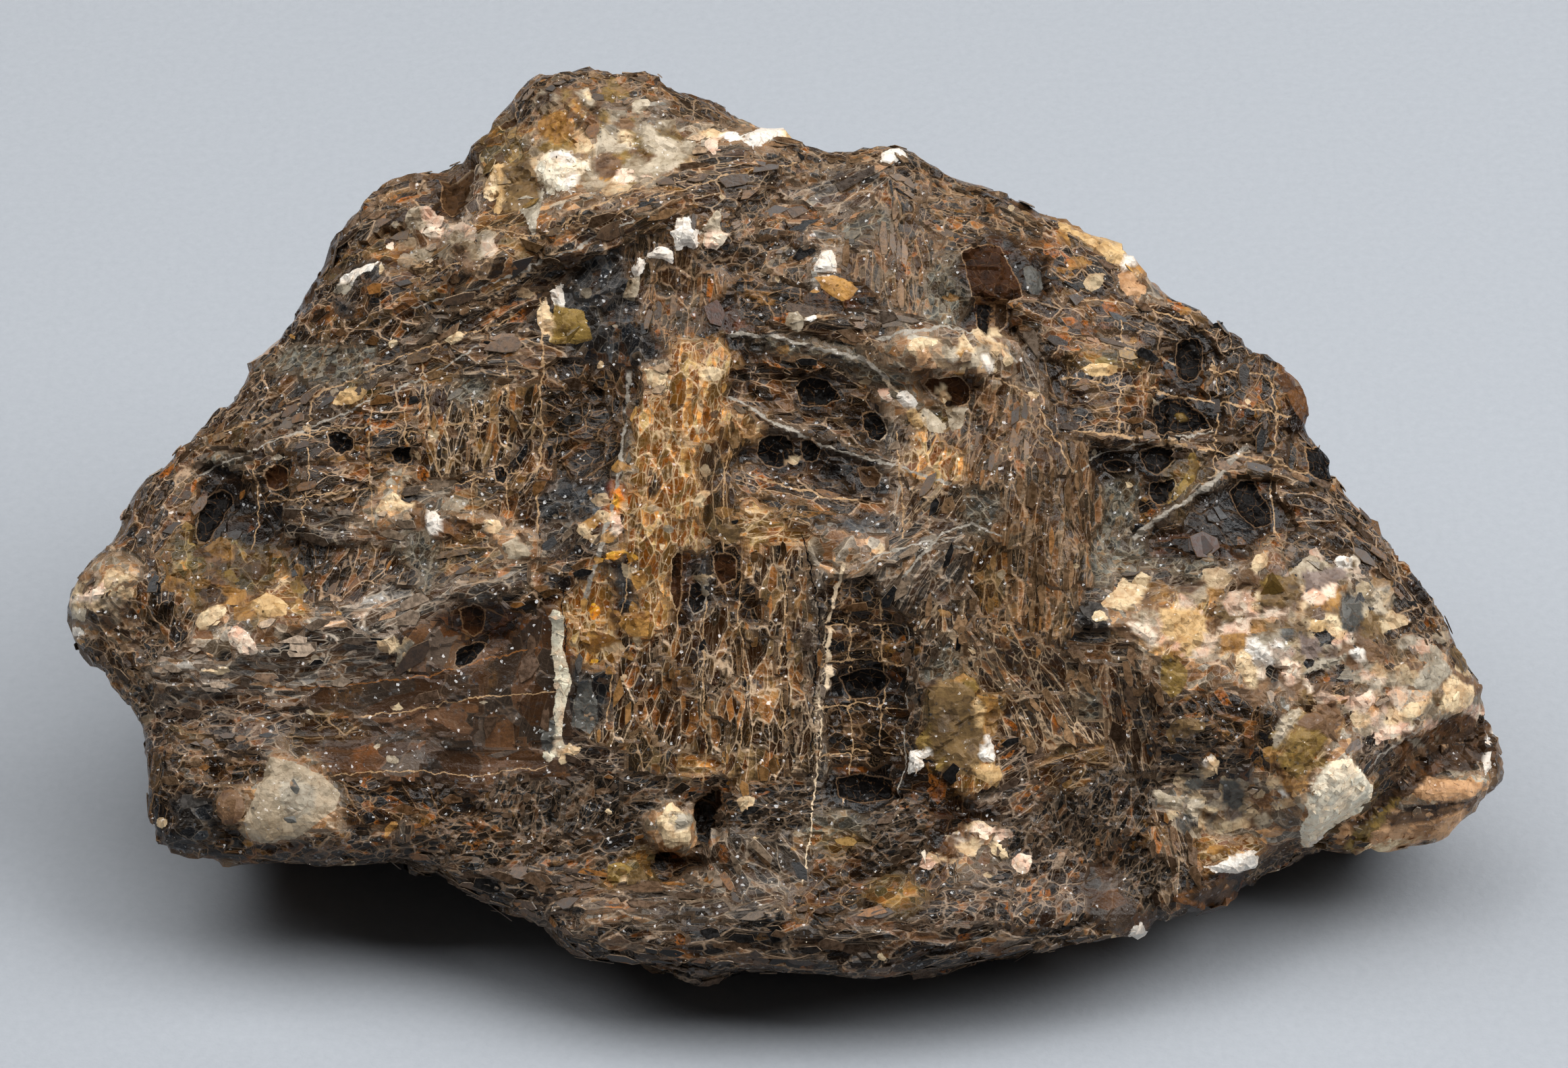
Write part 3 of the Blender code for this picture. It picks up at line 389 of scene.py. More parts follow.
# The crystals that show whole: tone, how far they stand out in mm, and the corners of their outline,
# x and y by turns. Pale ones stand a little proud, dark glassy cells are sunk between their walls.
CRYSTALS = [
    # the peak
    ("calcite", 0.3, 808, 232, 822, 226, 848, 226, 860, 240, 876, 240, 878, 252, 862, 262, 861, 280,
     846, 291, 826, 286, 812, 288, 803, 272, 798, 256),
    ("white", 0.35, 812, 229, 846, 226, 856, 238, 846, 250, 824, 240),
    ("white", 0.35, 846, 262, 862, 262, 861, 279, 846, 290, 836, 278),
    ("milky", 0.2, 885, 184, 905, 198, 922, 212, 934, 208, 940, 222, 915, 228, 888, 226, 878, 238,
     884, 210),
    ("cream", 0.25, 913, 200, 926, 192, 940, 200, 932, 208, 938, 218, 925, 212),
    ("milky", 0.25, 950, 186, 962, 184, 974, 200, 998, 210, 1004, 224, 1018, 240, 1000, 252, 965, 264,
     960, 250, 972, 236, 952, 222),
    ("milky", 0.1, 936, 150, 960, 144, 964, 158, 944, 172, 938, 166),
    ("slab", 0.3, 738, 244, 788, 236, 800, 262, 798, 296, 766, 312, 744, 312, 750, 268),
    ("honey", 0.3, 732, 246, 744, 244, 752, 268, 748, 292, 742, 316, 728, 316, 738, 290),
    ("cream", 0.2, 722, 268, 735, 262, 738, 280, 728, 302, 714, 292),
    ("amber", 0.1, 846, 146, 856, 150, 864, 176, 852, 168),
    ("cream", 0.1, 866, 138, 876, 136, 880, 150, 870, 152),
    ("brown", 0.1, 884, 232, 900, 226, 918, 232, 922, 250, 914, 264, 890, 264, 882, 250),
    ("clear", 0.1, 930, 236, 944, 232, 958, 238, 962, 254, 950, 266, 930, 262, 924, 250),
    ("pink", 0.2, 1046, 214, 1052, 206, 1062, 208, 1068, 226, 1060, 236, 1048, 230),
    ("white", 0.3, 1066, 206, 1096, 203, 1100, 214, 1080, 217, 1070, 212),
    ("white", 0.4, 1103, 203, 1112, 201, 1120, 195, 1134, 191, 1146, 196, 1158, 206, 1152, 212, 1138, 212,
     1124, 222, 1104, 220),
    ("honey", 0.3, 1156, 202, 1168, 205, 1176, 214, 1158, 214),
    ("umber", -0.8, 648, 262, 668, 238, 694, 212, 706, 198, 722, 206, 714, 236, 700, 258, 692, 290,
     668, 318, 655, 300),
    ("umber", -0.6, 734, 164, 750, 136, 766, 146, 762, 184, 748, 196, 738, 186),
    # under the strap
    ("white", 0.5, 992, 348, 1000, 336, 1001, 322, 1012, 320, 1024, 320, 1027, 327, 1024, 336, 1037, 340,
     1036, 364, 1027, 371, 1014, 362, 1010, 371, 1000, 370, 1000, 352),
    ("milky", 0.3, 1041, 336, 1060, 312, 1070, 308, 1068, 330, 1072, 342, 1050, 342, 1042, 362),
    ("pink", 0.4, 1048, 343, 1068, 340, 1081, 350, 1074, 358, 1064, 371, 1046, 367, 1041, 372),
    ("white", 0.4, 970, 368, 984, 363, 996, 370, 999, 380, 997, 390, 984, 385, 972, 382, 958, 382,
     956, 378),
    ("white", 0.4, 946, 381, 956, 382, 959, 390, 955, 402, 949, 409, 940, 408, 936, 400, 940, 391),
    ("clear", 0.2, 932, 414, 951, 408, 949, 430, 940, 448, 922, 442),
    ("white", 0.4, 1210, 392, 1222, 375, 1236, 377, 1243, 404, 1232, 407, 1206, 406),
    ("amber", 0.2, 1204, 412, 1232, 409, 1262, 417, 1272, 429, 1266, 440, 1250, 448, 1228, 440),
    ("garnet", -0.1, 1424, 372, 1440, 366, 1462, 362, 1484, 368, 1498, 396, 1512, 420, 1516, 444, 1496, 446,
     1460, 442, 1440, 440, 1432, 404),
    ("slate", 0.0, 1516, 396, 1530, 391, 1546, 402, 1550, 424, 1538, 438, 1522, 430),
    ("jet", -0.3, 1444, 446, 1460, 446, 1472, 450, 1468, 490, 1460, 500, 1450, 484),
    ("umber", -0.2, 1474, 448, 1494, 450, 1494, 480, 1484, 490, 1475, 484),
    # the upper window
    ("jet", -0.3, 1178, 572, 1200, 562, 1226, 566, 1244, 580, 1250, 592, 1226, 600, 1190, 600),
    ("jet", -0.3, 1122, 650, 1140, 640, 1160, 640, 1176, 652, 1178, 676, 1160, 694, 1136, 692, 1120, 676),
    ("jet", -0.3, 1186, 652, 1208, 648, 1218, 664, 1212, 684, 1192, 684),
    ("jet", -0.3, 1276, 612, 1296, 606, 1312, 616, 1318, 640, 1308, 656, 1288, 650),
    ("umber", -0.2, 1270, 692, 1296, 690, 1310, 704, 1300, 722, 1278, 720),
    # right of it
    ("pink", 0.2, 1298, 577, 1318, 574, 1323, 590, 1318, 599, 1304, 588),
    ("white", 0.3, 1328, 578, 1342, 572, 1354, 584, 1362, 598, 1356, 604, 1340, 605, 1328, 592),
    ("honey", 0.2, 1342, 607, 1356, 605, 1366, 616, 1370, 634, 1358, 637, 1346, 622),
    ("milky", 0.2, 1366, 604, 1378, 606, 1392, 620, 1404, 636, 1396, 644, 1376, 640),
    ("garnet", -0.2, 1366, 572, 1380, 562, 1420, 558, 1436, 574, 1438, 594, 1430, 602, 1402, 604),
    ("cream", 0.0, 1388, 578, 1396, 571, 1402, 582, 1405, 594, 1394, 599),
    ("cream", 0.2, 1342, 512, 1360, 502, 1378, 504, 1392, 506, 1384, 514, 1362, 516, 1354, 532),
    ("peach", 0.1, 1360, 520, 1376, 516, 1382, 526, 1368, 546, 1360, 542),
    ("milky", 0.1, 1404, 518, 1412, 514, 1421, 528, 1416, 539, 1405, 536),
    ("milky", 0.3, 1424, 529, 1436, 524, 1449, 532, 1448, 543, 1438, 541),
    ("white", 0.3, 1449, 528, 1462, 526, 1471, 540, 1463, 552, 1455, 546),
    ("cream", 0.3, 1468, 508, 1482, 507, 1495, 516, 1480, 522, 1474, 532, 1464, 525),
    ("clear", 0.1, 1400, 606, 1434, 602, 1430, 618, 1426, 637, 1410, 641, 1404, 624),
    # the upper right edge and the dark cells below it
    ("honey", 0.3, 1566, 330, 1580, 332, 1600, 348, 1624, 356, 1650, 364, 1672, 380, 1680, 392, 1660, 398,
     1640, 390, 1620, 370, 1590, 356, 1570, 346),
    ("white", 0.3, 1660, 387, 1674, 383, 1681, 396, 1668, 403, 1657, 400),
    ("peach", 0.2, 1656, 404, 1672, 404, 1682, 418, 1700, 430, 1696, 438, 1672, 440, 1658, 428),
    ("jet", -0.3, 1748, 504, 1762, 499, 1780, 500, 1786, 516, 1784, 540, 1776, 560, 1760, 566, 1748, 556,
     1744, 530),
    ("jet", -0.3, 1716, 596, 1734, 584, 1756, 586, 1770, 598, 1792, 620, 1796, 632, 1776, 640, 1750, 644,
     1722, 640, 1712, 626),
    ("olive", 0.0, 1748, 612, 1756, 606, 1764, 616, 1756, 624),
    ("jet", -0.3, 1690, 668, 1716, 658, 1738, 664, 1745, 676, 1736, 690, 1716, 704, 1700, 696),
    ("jet", -0.3, 1704, 714, 1740, 706, 1744, 716, 1730, 744, 1712, 750, 1702, 736),
    ("jet", -0.3, 1826, 724, 1840, 708, 1860, 710, 1872, 728, 1888, 750, 1890, 772, 1866, 780, 1838, 756),
    ("jet", -0.2, 1636, 686, 1660, 682, 1680, 690, 1672, 700, 1644, 700),
    ("olive", 0.1, 1760, 672, 1770, 668, 1776, 690, 1772, 712, 1752, 730, 1730, 750, 1718, 762, 1736, 736,
     1752, 712, 1762, 694),
    ("rust", 0.2, 1884, 560, 1904, 556, 1920, 562, 1934, 584, 1937, 606, 1932, 630, 1922, 620, 1904, 590),
    ("jet", 0.1, 1934, 662, 1960, 664, 1972, 680, 1974, 704, 1978, 720, 1960, 716, 1940, 700),
    ("honey", 0.1, 1600, 548, 1612, 540, 1640, 538, 1662, 546, 1650, 556, 1616, 560),
    # the left flank
    ("white", 0.4, 634, 764, 644, 755, 656, 766, 655, 790, 642, 797, 633, 784),
    ("cream", 0.2, 552, 764, 566, 742, 586, 730, 600, 742, 619, 752, 596, 760, 570, 758),
    ("milky", 0.2, 742, 810, 766, 796, 790, 822, 778, 832, 758, 830),
    ("cream", 0.2, 716, 772, 736, 770, 748, 782, 736, 796, 722, 788),
    ("honey", 0.3, 372, 886, 400, 882, 430, 900, 424, 916, 398, 920, 380, 910, 368, 900),
    ("cream", 0.2, 288, 926, 300, 910, 330, 897, 342, 914, 320, 926, 300, 936),
    ("pink", 0.2, 338, 940, 352, 930, 372, 940, 386, 966, 360, 970, 342, 956),
    ("cream", 0.3, 559, 946, 580, 944, 592, 956, 588, 966, 566, 962),
    ("grey", 0.1, 592, 962, 616, 945, 606, 975, 590, 1000, 588, 980),
    ("honey", 0.1, 488, 598, 506, 580, 530, 574, 550, 578, 536, 592, 510, 604),
    ("jet", -0.3, 294, 756, 304, 732, 322, 722, 338, 730, 340, 746, 330, 752, 326, 770, 316, 780, 310, 796,
     296, 800, 290, 780),
    ("garnet", -0.2, 392, 696, 408, 686, 425, 694, 424, 720, 404, 728, 392, 718),
    ("jet", -0.3, 484, 640, 504, 636, 526, 648, 524, 668, 500, 674, 486, 662),
    ("jet", -0.3, 577, 668, 592, 660, 608, 664, 608, 686, 586, 692),
    ("jet", -0.3, 730, 694, 744, 686, 754, 702, 748, 722, 734, 716),
    ("garnet", -0.2, 680, 904, 702, 892, 722, 904, 716, 938, 700, 944, 684, 936),
    ("jet", -0.3, 676, 962, 706, 950, 724, 952, 702, 980, 672, 996),
    ("shell", 0.15, 818, 902, 830, 905, 838, 930, 834, 960, 842, 985, 848, 1010, 840, 1040, 834, 1090,
     838, 1110, 826, 1120, 812, 1132, 800, 1118, 818, 1112, 824, 1090, 822, 1050, 826, 1020, 822, 990,
     820, 970, 818, 956, 819, 936),
    ("quartz", 0.1, 372, 1240, 366, 1216, 380, 1180, 392, 1140, 398, 1122, 420, 1126, 450, 1136, 480, 1150,
     504, 1176, 498, 1200, 470, 1220, 450, 1236, 430, 1244, 400, 1250),
    ("grey", 0.1, 418, 1160, 440, 1154, 464, 1170, 470, 1196, 446, 1216, 426, 1208, 414, 1184),
    ("brown", 0.3, 322, 1190, 334, 1172, 354, 1172, 366, 1186, 368, 1206, 350, 1222, 330, 1220),
    # the column
    ("flame", 0.2, 910, 728, 920, 722, 926, 740, 916, 757, 908, 748),
    ("pink", 0.2, 908, 762, 920, 764, 926, 786, 913, 797, 906, 780),
    ("garnet", -0.2, 996, 830, 1006, 812, 1014, 824, 1012, 860, 1010, 900, 1000, 905, 992, 880),
    ("jet", -0.2, 1022, 864, 1034, 858, 1046, 874, 1044, 902, 1030, 912, 1020, 894),
    ("garnet", -0.2, 1056, 822, 1078, 818, 1092, 830, 1090, 858, 1070, 868, 1058, 852),
    ("slab", 0.0, 1062, 780, 1084, 772, 1100, 782, 1094, 806, 1072, 808),
    # the lower window and the slab beside it
    ("jet", -0.3, 1244, 1004, 1270, 992, 1310, 996, 1318, 1010, 1300, 1032, 1262, 1040),
    ("jet", -0.3, 1240, 1152, 1276, 1144, 1320, 1152, 1324, 1180, 1280, 1188, 1246, 1180),
    ("slab", 0.2, 1392, 1000, 1440, 1020, 1444, 1034, 1462, 1050, 1458, 1090, 1452, 1122, 1456, 1146,
     1400, 1146, 1385, 1140, 1380, 1100, 1378, 1030),
    ("honey", 0.25, 1440, 1030, 1452, 1046, 1462, 1048, 1462, 1064, 1456, 1080, 1446, 1078),
    ("honey", 0.25, 1442, 1131, 1460, 1131, 1482, 1132, 1486, 1154, 1474, 1172, 1462, 1158, 1444, 1150),
    ("olive", 0.2, 1386, 1112, 1404, 1120, 1402, 1142, 1384, 1140),
    ("olive", 0.1, 1358, 1090, 1378, 1088, 1380, 1108, 1360, 1112),
    ("white", 0.35, 1458, 1081, 1470, 1092, 1474, 1106, 1477, 1124, 1466, 1131, 1452, 1125, 1450, 1112,
     1457, 1104),
    ("cream", 0.3, 1443, 1030, 1452, 1035, 1459, 1044, 1451, 1043, 1446, 1038),
    ("white", 0.35, 1348, 1113, 1368, 1113, 1378, 1107, 1381, 1118, 1366, 1124, 1370, 1138, 1356, 1144,
     1345, 1150, 1345, 1130),
    # the bench
    ("slab", 0.1, 1870, 870, 1896, 856, 1920, 850, 1930, 880, 1916, 900, 1880, 904, 1860, 896),
    ("violet", 0.1, 1930, 850, 1990, 842, 1996, 860, 1960, 874, 1932, 876),
    ("slate", 0.1, 1990, 880, 2016, 886, 2020, 920, 2000, 940, 1984, 930, 1986, 904),
    ("honey", 0.1, 1940, 920, 1960, 920, 1966, 930, 1954, 940, 1938, 936),
    ("slate", 0.1, 1900, 930, 1912, 930, 1918, 946, 1904, 956, 1892, 946),
    ("violet", 0.1, 1922, 944, 1950, 944, 1960, 964, 1946, 980, 1924, 972),
    ("pink", 0.25, 1667, 922, 1680, 924, 1700, 930, 1712, 944, 1716, 956, 1700, 954, 1678, 936),
    ("honey", 0.2, 1716, 904, 1748, 904, 1772, 904, 1786, 912, 1788, 936, 1780, 958, 1764, 976, 1750, 968,
     1744, 950, 1722, 940),
    ("olive", 0.1, 1722, 968, 1744, 974, 1762, 994, 1756, 1020, 1738, 1036, 1720, 1020),
    ("cream", 0.3, 1830, 970, 1846, 966, 1856, 984, 1864, 1000, 1862, 1022, 1846, 1024, 1840, 1006,
     1828, 990),
    ("white", 0.5, 1844, 952, 1856, 950, 1870, 958, 1876, 966, 1890, 985, 1868, 988, 1856, 986, 1852, 976),
    ("white", 0.3, 1882, 960, 1888, 953, 1896, 950, 1900, 962, 1892, 966),
    ("white", 0.4, 2002, 966, 2010, 960, 2022, 960, 2026, 974, 2018, 980, 2008, 978),
    ("white", 0.4, 1974, 838, 1980, 824, 1992, 822, 2002, 830, 2004, 840, 1990, 842),
    ("cream", 0.3, 1852, 838, 1858, 826, 1870, 820, 1878, 824, 1876, 842, 1866, 848, 1854, 848),
    ("pink", 0.3, 1894, 980, 1906, 978, 1924, 986, 1926, 1000, 1918, 1012, 1906, 1016),
    ("milky", 0.3, 1892, 1068, 1912, 1052, 1930, 1050, 1924, 1066, 1908, 1084, 1896, 1100, 1888, 1112,
     1886, 1096),
    ("slab", 0.1, 1928, 1024, 1940, 1020, 1948, 1030, 1944, 1048, 1930, 1050, 1920, 1044),
    ("olive", 0.2, 1910, 1090, 1930, 1080, 1950, 1084, 1968, 1096, 1950, 1124, 1934, 1150, 1926, 1156,
     1900, 1136, 1892, 1122, 1904, 1112),
    ("pink", 0.3, 2006, 1036, 2018, 1030, 2030, 1024, 2036, 1036, 2030, 1050, 2020, 1062),
    ("milky", 0.2, 2030, 888, 2040, 880, 2048, 892, 2056, 910, 2048, 916, 2036, 910),
    ("calcite", 0.5, 1974, 1126, 2000, 1124, 2014, 1134, 2018, 1150, 2030, 1162, 2028, 1178, 2014, 1196,
     1990, 1210, 1968, 1222, 1962, 1234, 1948, 1246, 1934, 1251, 1924, 1244, 1923, 1226, 1932, 1206,
     1936, 1196, 1934, 1184, 1942, 1172, 1952, 1150, 1962, 1138),
    ("white", 0.55, 1936, 1238, 1950, 1232, 1966, 1226, 1962, 1236, 1948, 1246, 1934, 1250),
    ("white", 0.4, 2196, 1092, 2212, 1088, 2220, 1100, 2218, 1114, 2206, 1130, 2200, 1156, 2194, 1140),
    # in front of the bench
    ("milky", 0.3, 1708, 1172, 1718, 1170, 1732, 1180, 1752, 1178, 1760, 1184, 1748, 1192, 1732, 1198,
     1716, 1190),
    ("milky", 0.2, 1762, 1180, 1786, 1186, 1780, 1204, 1774, 1218, 1762, 1216, 1756, 1198),
    ("slate", 0.0, 1808, 1150, 1834, 1152, 1844, 1170, 1842, 1196, 1822, 1198, 1808, 1184),
    ("slate", 0.0, 1758, 1154, 1782, 1152, 1788, 1160, 1770, 1166, 1756, 1164),
    ("white", 0.3, 1892, 1168, 1904, 1168, 1912, 1182, 1900, 1179),
    ("cream", 0.3, 1790, 1128, 1800, 1121, 1808, 1128, 1798, 1152, 1790, 1150),
    ("slab", 0.1, 1728, 1084, 1742, 1066, 1770, 1062, 1786, 1072, 1784, 1084, 1760, 1090, 1734, 1106),
    ("white", 0.5, 1777, 1284, 1800, 1283, 1822, 1272, 1850, 1257, 1862, 1261, 1863, 1276, 1850, 1287,
     1830, 1293, 1800, 1293),
    ("milky", 0.3, 1886, 1298, 1896, 1289, 1926, 1286, 1930, 1292, 1902, 1304),
    ("white", 0.4, 1667, 1385, 1672, 1372, 1688, 1361, 1693, 1370, 1680, 1385),
]

# Patches of rock that are nothing but small grains: tones, how many grains, the grid place of the
# patch, its half width and half height, and the half size of its grains in mm.
MOSAICS = [
    (("cream", "amber", "clear", "brown", "clear", "pink", "slab"), 64, 1800, 915, 150, 60, 0.62),
    (("brown", "clear", "slab", "cream", "brown", "pink", "amber"), 64, 1960, 900, 110, 80, 0.62),
    (("cream", "pink", "clear", "brown", "slab", "grey"), 60, 2090, 1020, 110, 90, 0.55),
    (("cream", "brown", "pink", "clear"), 26, 1950, 1010, 110, 50, 0.6),
    (("olive", "amber", "brown", "umber"), 18, 1925, 1105, 44, 50, 0.7),
    (("clear", "slate", "brown", "cream", "cream"), 44, 1820, 1190, 90, 60, 0.5),
    (("clear", "clear", "brown", "olive", "cream"), 50, 900, 225, 120, 54, 0.6),
    (("clear", "brown", "olive", "umber"), 22, 880, 155, 90, 30, 0.45),
    (("cream", "clear", "amber", "brown"), 20, 1420, 525, 80, 30, 0.45),
    (("olive", "amber", "umber", "brown"), 30, 350, 860, 100, 60, 0.5),
    (("olive", "amber", "rust", "umber"), 30, 1425, 1070, 50, 75, 0.6),
    (("amber", "flame", "cream", "amber"), 30, 905, 850, 50, 170, 0.34),
    (("cream", "brown", "umber", "clear"), 24, 150, 890, 60, 50, 0.4),
    (("pink", "cream", "brown", "rust"), 18, 1450, 1250, 70, 30, 0.35),
    (("clear", "grey", "rust"), 14, 620, 770, 150, 30, 0.4),
    (("cream", "amber", "rust"), 20, 1640, 380, 80, 40, 0.4),
    (("amber", "cream", "amber", "clear"), 16, 1020, 690, 90, 160, 0.34),
    (("brown", "umber", "rust"), 40, 2140, 1100, 70, 40, 0.4),
    (("clear", "brown", "pink", "clear"), 22, 650, 360, 90, 36, 0.45),
]

# Specks of the same crystals are strewn over the whole face, and grains over the rest of the rock.
SPECKS = 200
SPECK_KINDS = ("cream", "clear", "amber", "rust", "umber", "brown")
SPECK_SIZE = (0.12, 0.36)  # half width, in mm
HIDDEN_GRAINS = 150
HIDDEN_GRAIN_KINDS = ("cream", "white", "amber", "pink", "grey", "olive", "brown", "slate", "umber")
HIDDEN_GRAIN_SIZE = (0.4, 1.8)  # half width, in mm

# Elsewhere the rock goes on in these kinds, with a book every few mm.
HIDDEN_KINDS = ["cells", "coarse", "strap", "flaky", "dusk", "fibre", "silver", "dark", "crumb",
                "plate", "ledge", "ochre", "red", "strap", "fibre", "black", "ledge", "silver"]
HIDDEN_BOOKS = 210
HIDDEN_BOOK_WIDTH = (1.8, 6.5)
HIDDEN_STAND = 1.1  # mm by which these books stand out or back at most
HIDDEN_LENGTH = 0.75  # how far these books are drawn out along their cleavage, 0 to 1
HIDDEN_WANDER = 0.9  # how far their borders follow the wandering of those on the face
FACE_DEPTH = 9.0  # mm behind the mean face to which the books of the face reach
FACE_EDGE_SWAY = 1.5
TURNED_AWAY = -0.12  # rock that faces further back than this is not part of the face

SKIN_CELL = 0.61  # even mesh over the whole skin, in mm
FINE_DEPTH = 13.0  # mm behind the mean face to which the mesh is twice as fine
FINE_FACING = 0.25  # and how squarely it has to face forwards there
skin = bpy.data.objects.new("rock_skin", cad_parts["bannisterite_block"].data.copy())
scene.collection.objects.link(skin)
skin.data.transform(Matrix.Scale(1 / MM, 4))


def baked(thing):
    """Replaces the object's mesh by the one that its modifiers make."""
    graph = bpy.context.evaluated_depsgraph_get()
    result = bpy.data.meshes.new_from_object(thing.evaluated_get(graph))
    thing.modifiers.clear()
    thing.data = result


even = skin.modifiers.new("even mesh", "REMESH")
even.mode = "VOXEL"
even.voxel_size = SKIN_CELL
settle = skin.modifiers.new("settle", "SMOOTH")
settle.factor = 0.5
settle.iterations = 9
baked(skin)

# The face is what a collector looks at, so its mesh is twice as fine.
fine = bmesh.new()
fine.from_mesh(skin.data)
out_of_face = Vector(OUT)
fine_faces = []
for face in fine.faces:
    depth = (Vector(FACE_MIDDLE) - face.calc_center_median()).dot(out_of_face)
    if face.normal.dot(out_of_face) > FINE_FACING and depth < FINE_DEPTH:
        fine_faces.append(face)
edges = list({edge for face in fine_faces for edge in face.edges})
bmesh.ops.subdivide_edges(fine, edges=edges, cuts=1, use_grid_fill=True)
bmesh.ops.triangulate(fine, faces=fine.faces)
fine.to_mesh(skin.data)
fine.free()


def rows_of(store, field):
    """The places or the normals of a mesh's points, as rows of three numbers."""
    flat = np.empty(len(store) * 3, dtype=np.float32)
    store.foreach_get(field, flat)
    return flat.reshape(-1, 3).astype(np.float64)


def move_points(mesh, rows):
    mesh.vertices.foreach_set("co", rows.astype(np.float32).ravel())
    mesh.update()


places = rows_of(skin.data.vertices, "co")
normals = rows_of(skin.data.vertex_normals, "vector")


def drift(points, size, reach, offset):
    """A smooth wandering of each point, for borders that are never straight."""
    shift = Vector((offset, offset * 0.7, -offset))
    moved = [noise.noise_vector(Vector(point) / size + shift) for point in points]
    return np.array(moved) * reach


wander = drift(places, size=2.4, reach=1.1, offset=3.0)
wander += drift(places, size=0.8, reach=0.45, offset=9.0)
grid_x, grid_y, depth = grid_of(places + wander)


def lie_of(turn):
    """How far a book's or a grain's sides are turned. Upright ones are given as width and height."""
    return 0.0 if abs(turn % 180 - 90) < 45 else math.radians(turn)


def along_and_across(right, up, angle):
    """Steps to the right and up, as steps along a turned book or grain and across it."""
    along = right * math.cos(angle) + up * math.sin(angle)
    return along, up * math.cos(angle) - right * math.sin(angle)


def nearest_of(distances):
    """For each point, the number of the book that is nearest to it."""
    nearest = np.full(len(places), 1e9)
    found = np.zeros(len(places), dtype=np.int32)
    for index, distance in enumerate(distances):
        closer = distance < nearest
        nearest[closer] = distance[closer]
        found[closer] = index
    return found


rows = np.array([(*book[1:], 0.0)[:6] for book in BOOKS])


def face_distances():
    for x, y, long, wide, turn, _ in rows:
        along, across = along_and_across(grid_x - x, y - grid_y, lie_of(turn))
        yield (along / long) ** 2 + (across / wide) ** 2


# The flanks and the back: books strewn evenly, each with its own cleavage, mostly along the surface.
strewn = random.sample(range(len(places)), HIDDEN_BOOKS)
behind = (depth < -FACE_DEPTH - FACE_EDGE_SWAY * wander[:, 0]) | (normals @ OUT < TURNED_AWAY)
hidden_width = [random.uniform(*HIDDEN_BOOK_WIDTH) for _ in strewn]
hidden_turn = []
for spot in strewn:
    outward = Vector(normals[spot])
    lying = Vector(noise.random_unit_vector())
    lying -= outward * lying.dot(outward) * 0.9
    hidden_turn.append(lying.normalized())
hidden_kind = [random.choice(HIDDEN_KINDS) for _ in strewn]
hidden_stand = [random.uniform(-HIDDEN_STAND, HIDDEN_STAND) for _ in strewn]


def hidden_distances():
    drifted = places + wander * HIDDEN_WANDER
    for spot, turn, width in zip(strewn, hidden_turn, hidden_width):
        off = drifted - places[spot]
        along = off @ np.array(turn)
        yield np.sqrt((off * off).sum(axis=1) - HIDDEN_LENGTH * along ** 2) / width


owner = np.where(behind, len(BOOKS) + nearest_of(hidden_distances()), nearest_of(face_distances()))

# Everything that a book decides, book by book, to be handed to the points that it owns.
kinds = [book[0] for book in BOOKS] + hidden_kind
by_book = {}
for column, name in enumerate(KIND_TONES + KIND_MEASURES):
    values = [KINDS[kind][column] for kind in kinds]
    by_book[name] = np.array([tone(*value) for value in values] if name in KIND_TONES else values)
stand_out = np.concatenate([rows[:, 5], hidden_stand])

# Three directions for each book: along its cleavage, up through its layers, and aside.
cleavage = []
for turn in np.radians(rows[:, 4]):
    cleavage.append(ACROSS * math.cos(turn) + UP_FACE * math.sin(turn))
cleavage += [np.array(direction) for direction in hidden_turn]
cleavage = np.array(cleavage)
layer_up = np.cross(np.where(np.abs(cleavage @ OUT)[:, None] < 0.9, OUT, UP_FACE), cleavage)
layer_up /= np.linalg.norm(layer_up, axis=1)[:, None]
aside = np.cross(cleavage, layer_up)

# Where each point lies within its own book, in cells. The last step gives each book its own part
# of the pattern, so that the cells of neighbours don't run on into each other.
own_size = by_book["size"][owner]
book_place = np.empty_like(places)
for axis, directions in enumerate((cleavage, layer_up, aside)):
    book_place[:, axis] = np.einsum("ij,ij->i", places, directions[owner]) / own_size
book_place[:, 0] /= by_book["drawn_out"][owner]
book_place += (owner * 7.31 % 50)[:, None]

ends = np.empty(len(skin.data.edges) * 2, dtype=np.int32)
skin.data.edges.foreach_get("vertices", ends)
ends = ends.reshape(-1, 2)
neighbours = np.bincount(ends.ravel(), minlength=len(places))


def blended(values, rounds):
    """The same values, with the borders between books grown together a little."""
    values = np.array(values, dtype=np.float64).reshape(len(places), -1)
    for _ in range(rounds):
        for column in range(values.shape[1]):
            there = values[:, column]
            total = np.bincount(ends[:, 0], there[ends[:, 1]], len(places))
            total += np.bincount(ends[:, 1], there[ends[:, 0]], len(places))
            values[:, column] = 0.4 * there + 0.6 * total / neighbours
    return values


def give(name, values, kind=None):
    """Stores one value for each point of the skin under a name. Three numbers make a colour."""
    kind = kind or ("FLOAT_COLOR" if values.shape[1:] == (3,) else "FLOAT")
    store = skin.data.attributes.new(name, kind, "POINT")
    if kind == "FLOAT_COLOR":
        values = np.concatenate([values, np.ones((len(values), 1))], axis=1)
    field = {"FLOAT": "value", "FLOAT_VECTOR": "vector", "FLOAT_COLOR": "color"}[kind]
    store.data.foreach_set(field, np.ascontiguousarray(values, dtype=np.float32).ravel())


# The finish and the carving read these. Tones and roughness run into each other at the borders.
BORDER_ROUNDS = {"light": 3, "deep": 3, "vein": 3, "rough": 2}
give("book_place", book_place, "FLOAT_VECTOR")
for name in ("light", "deep", "vein", "black", "layers", "rough", "glass", "net", "size"):
    give("book_" + name, blended(by_book[name][owner], BORDER_ROUNDS.get(name, 0)))

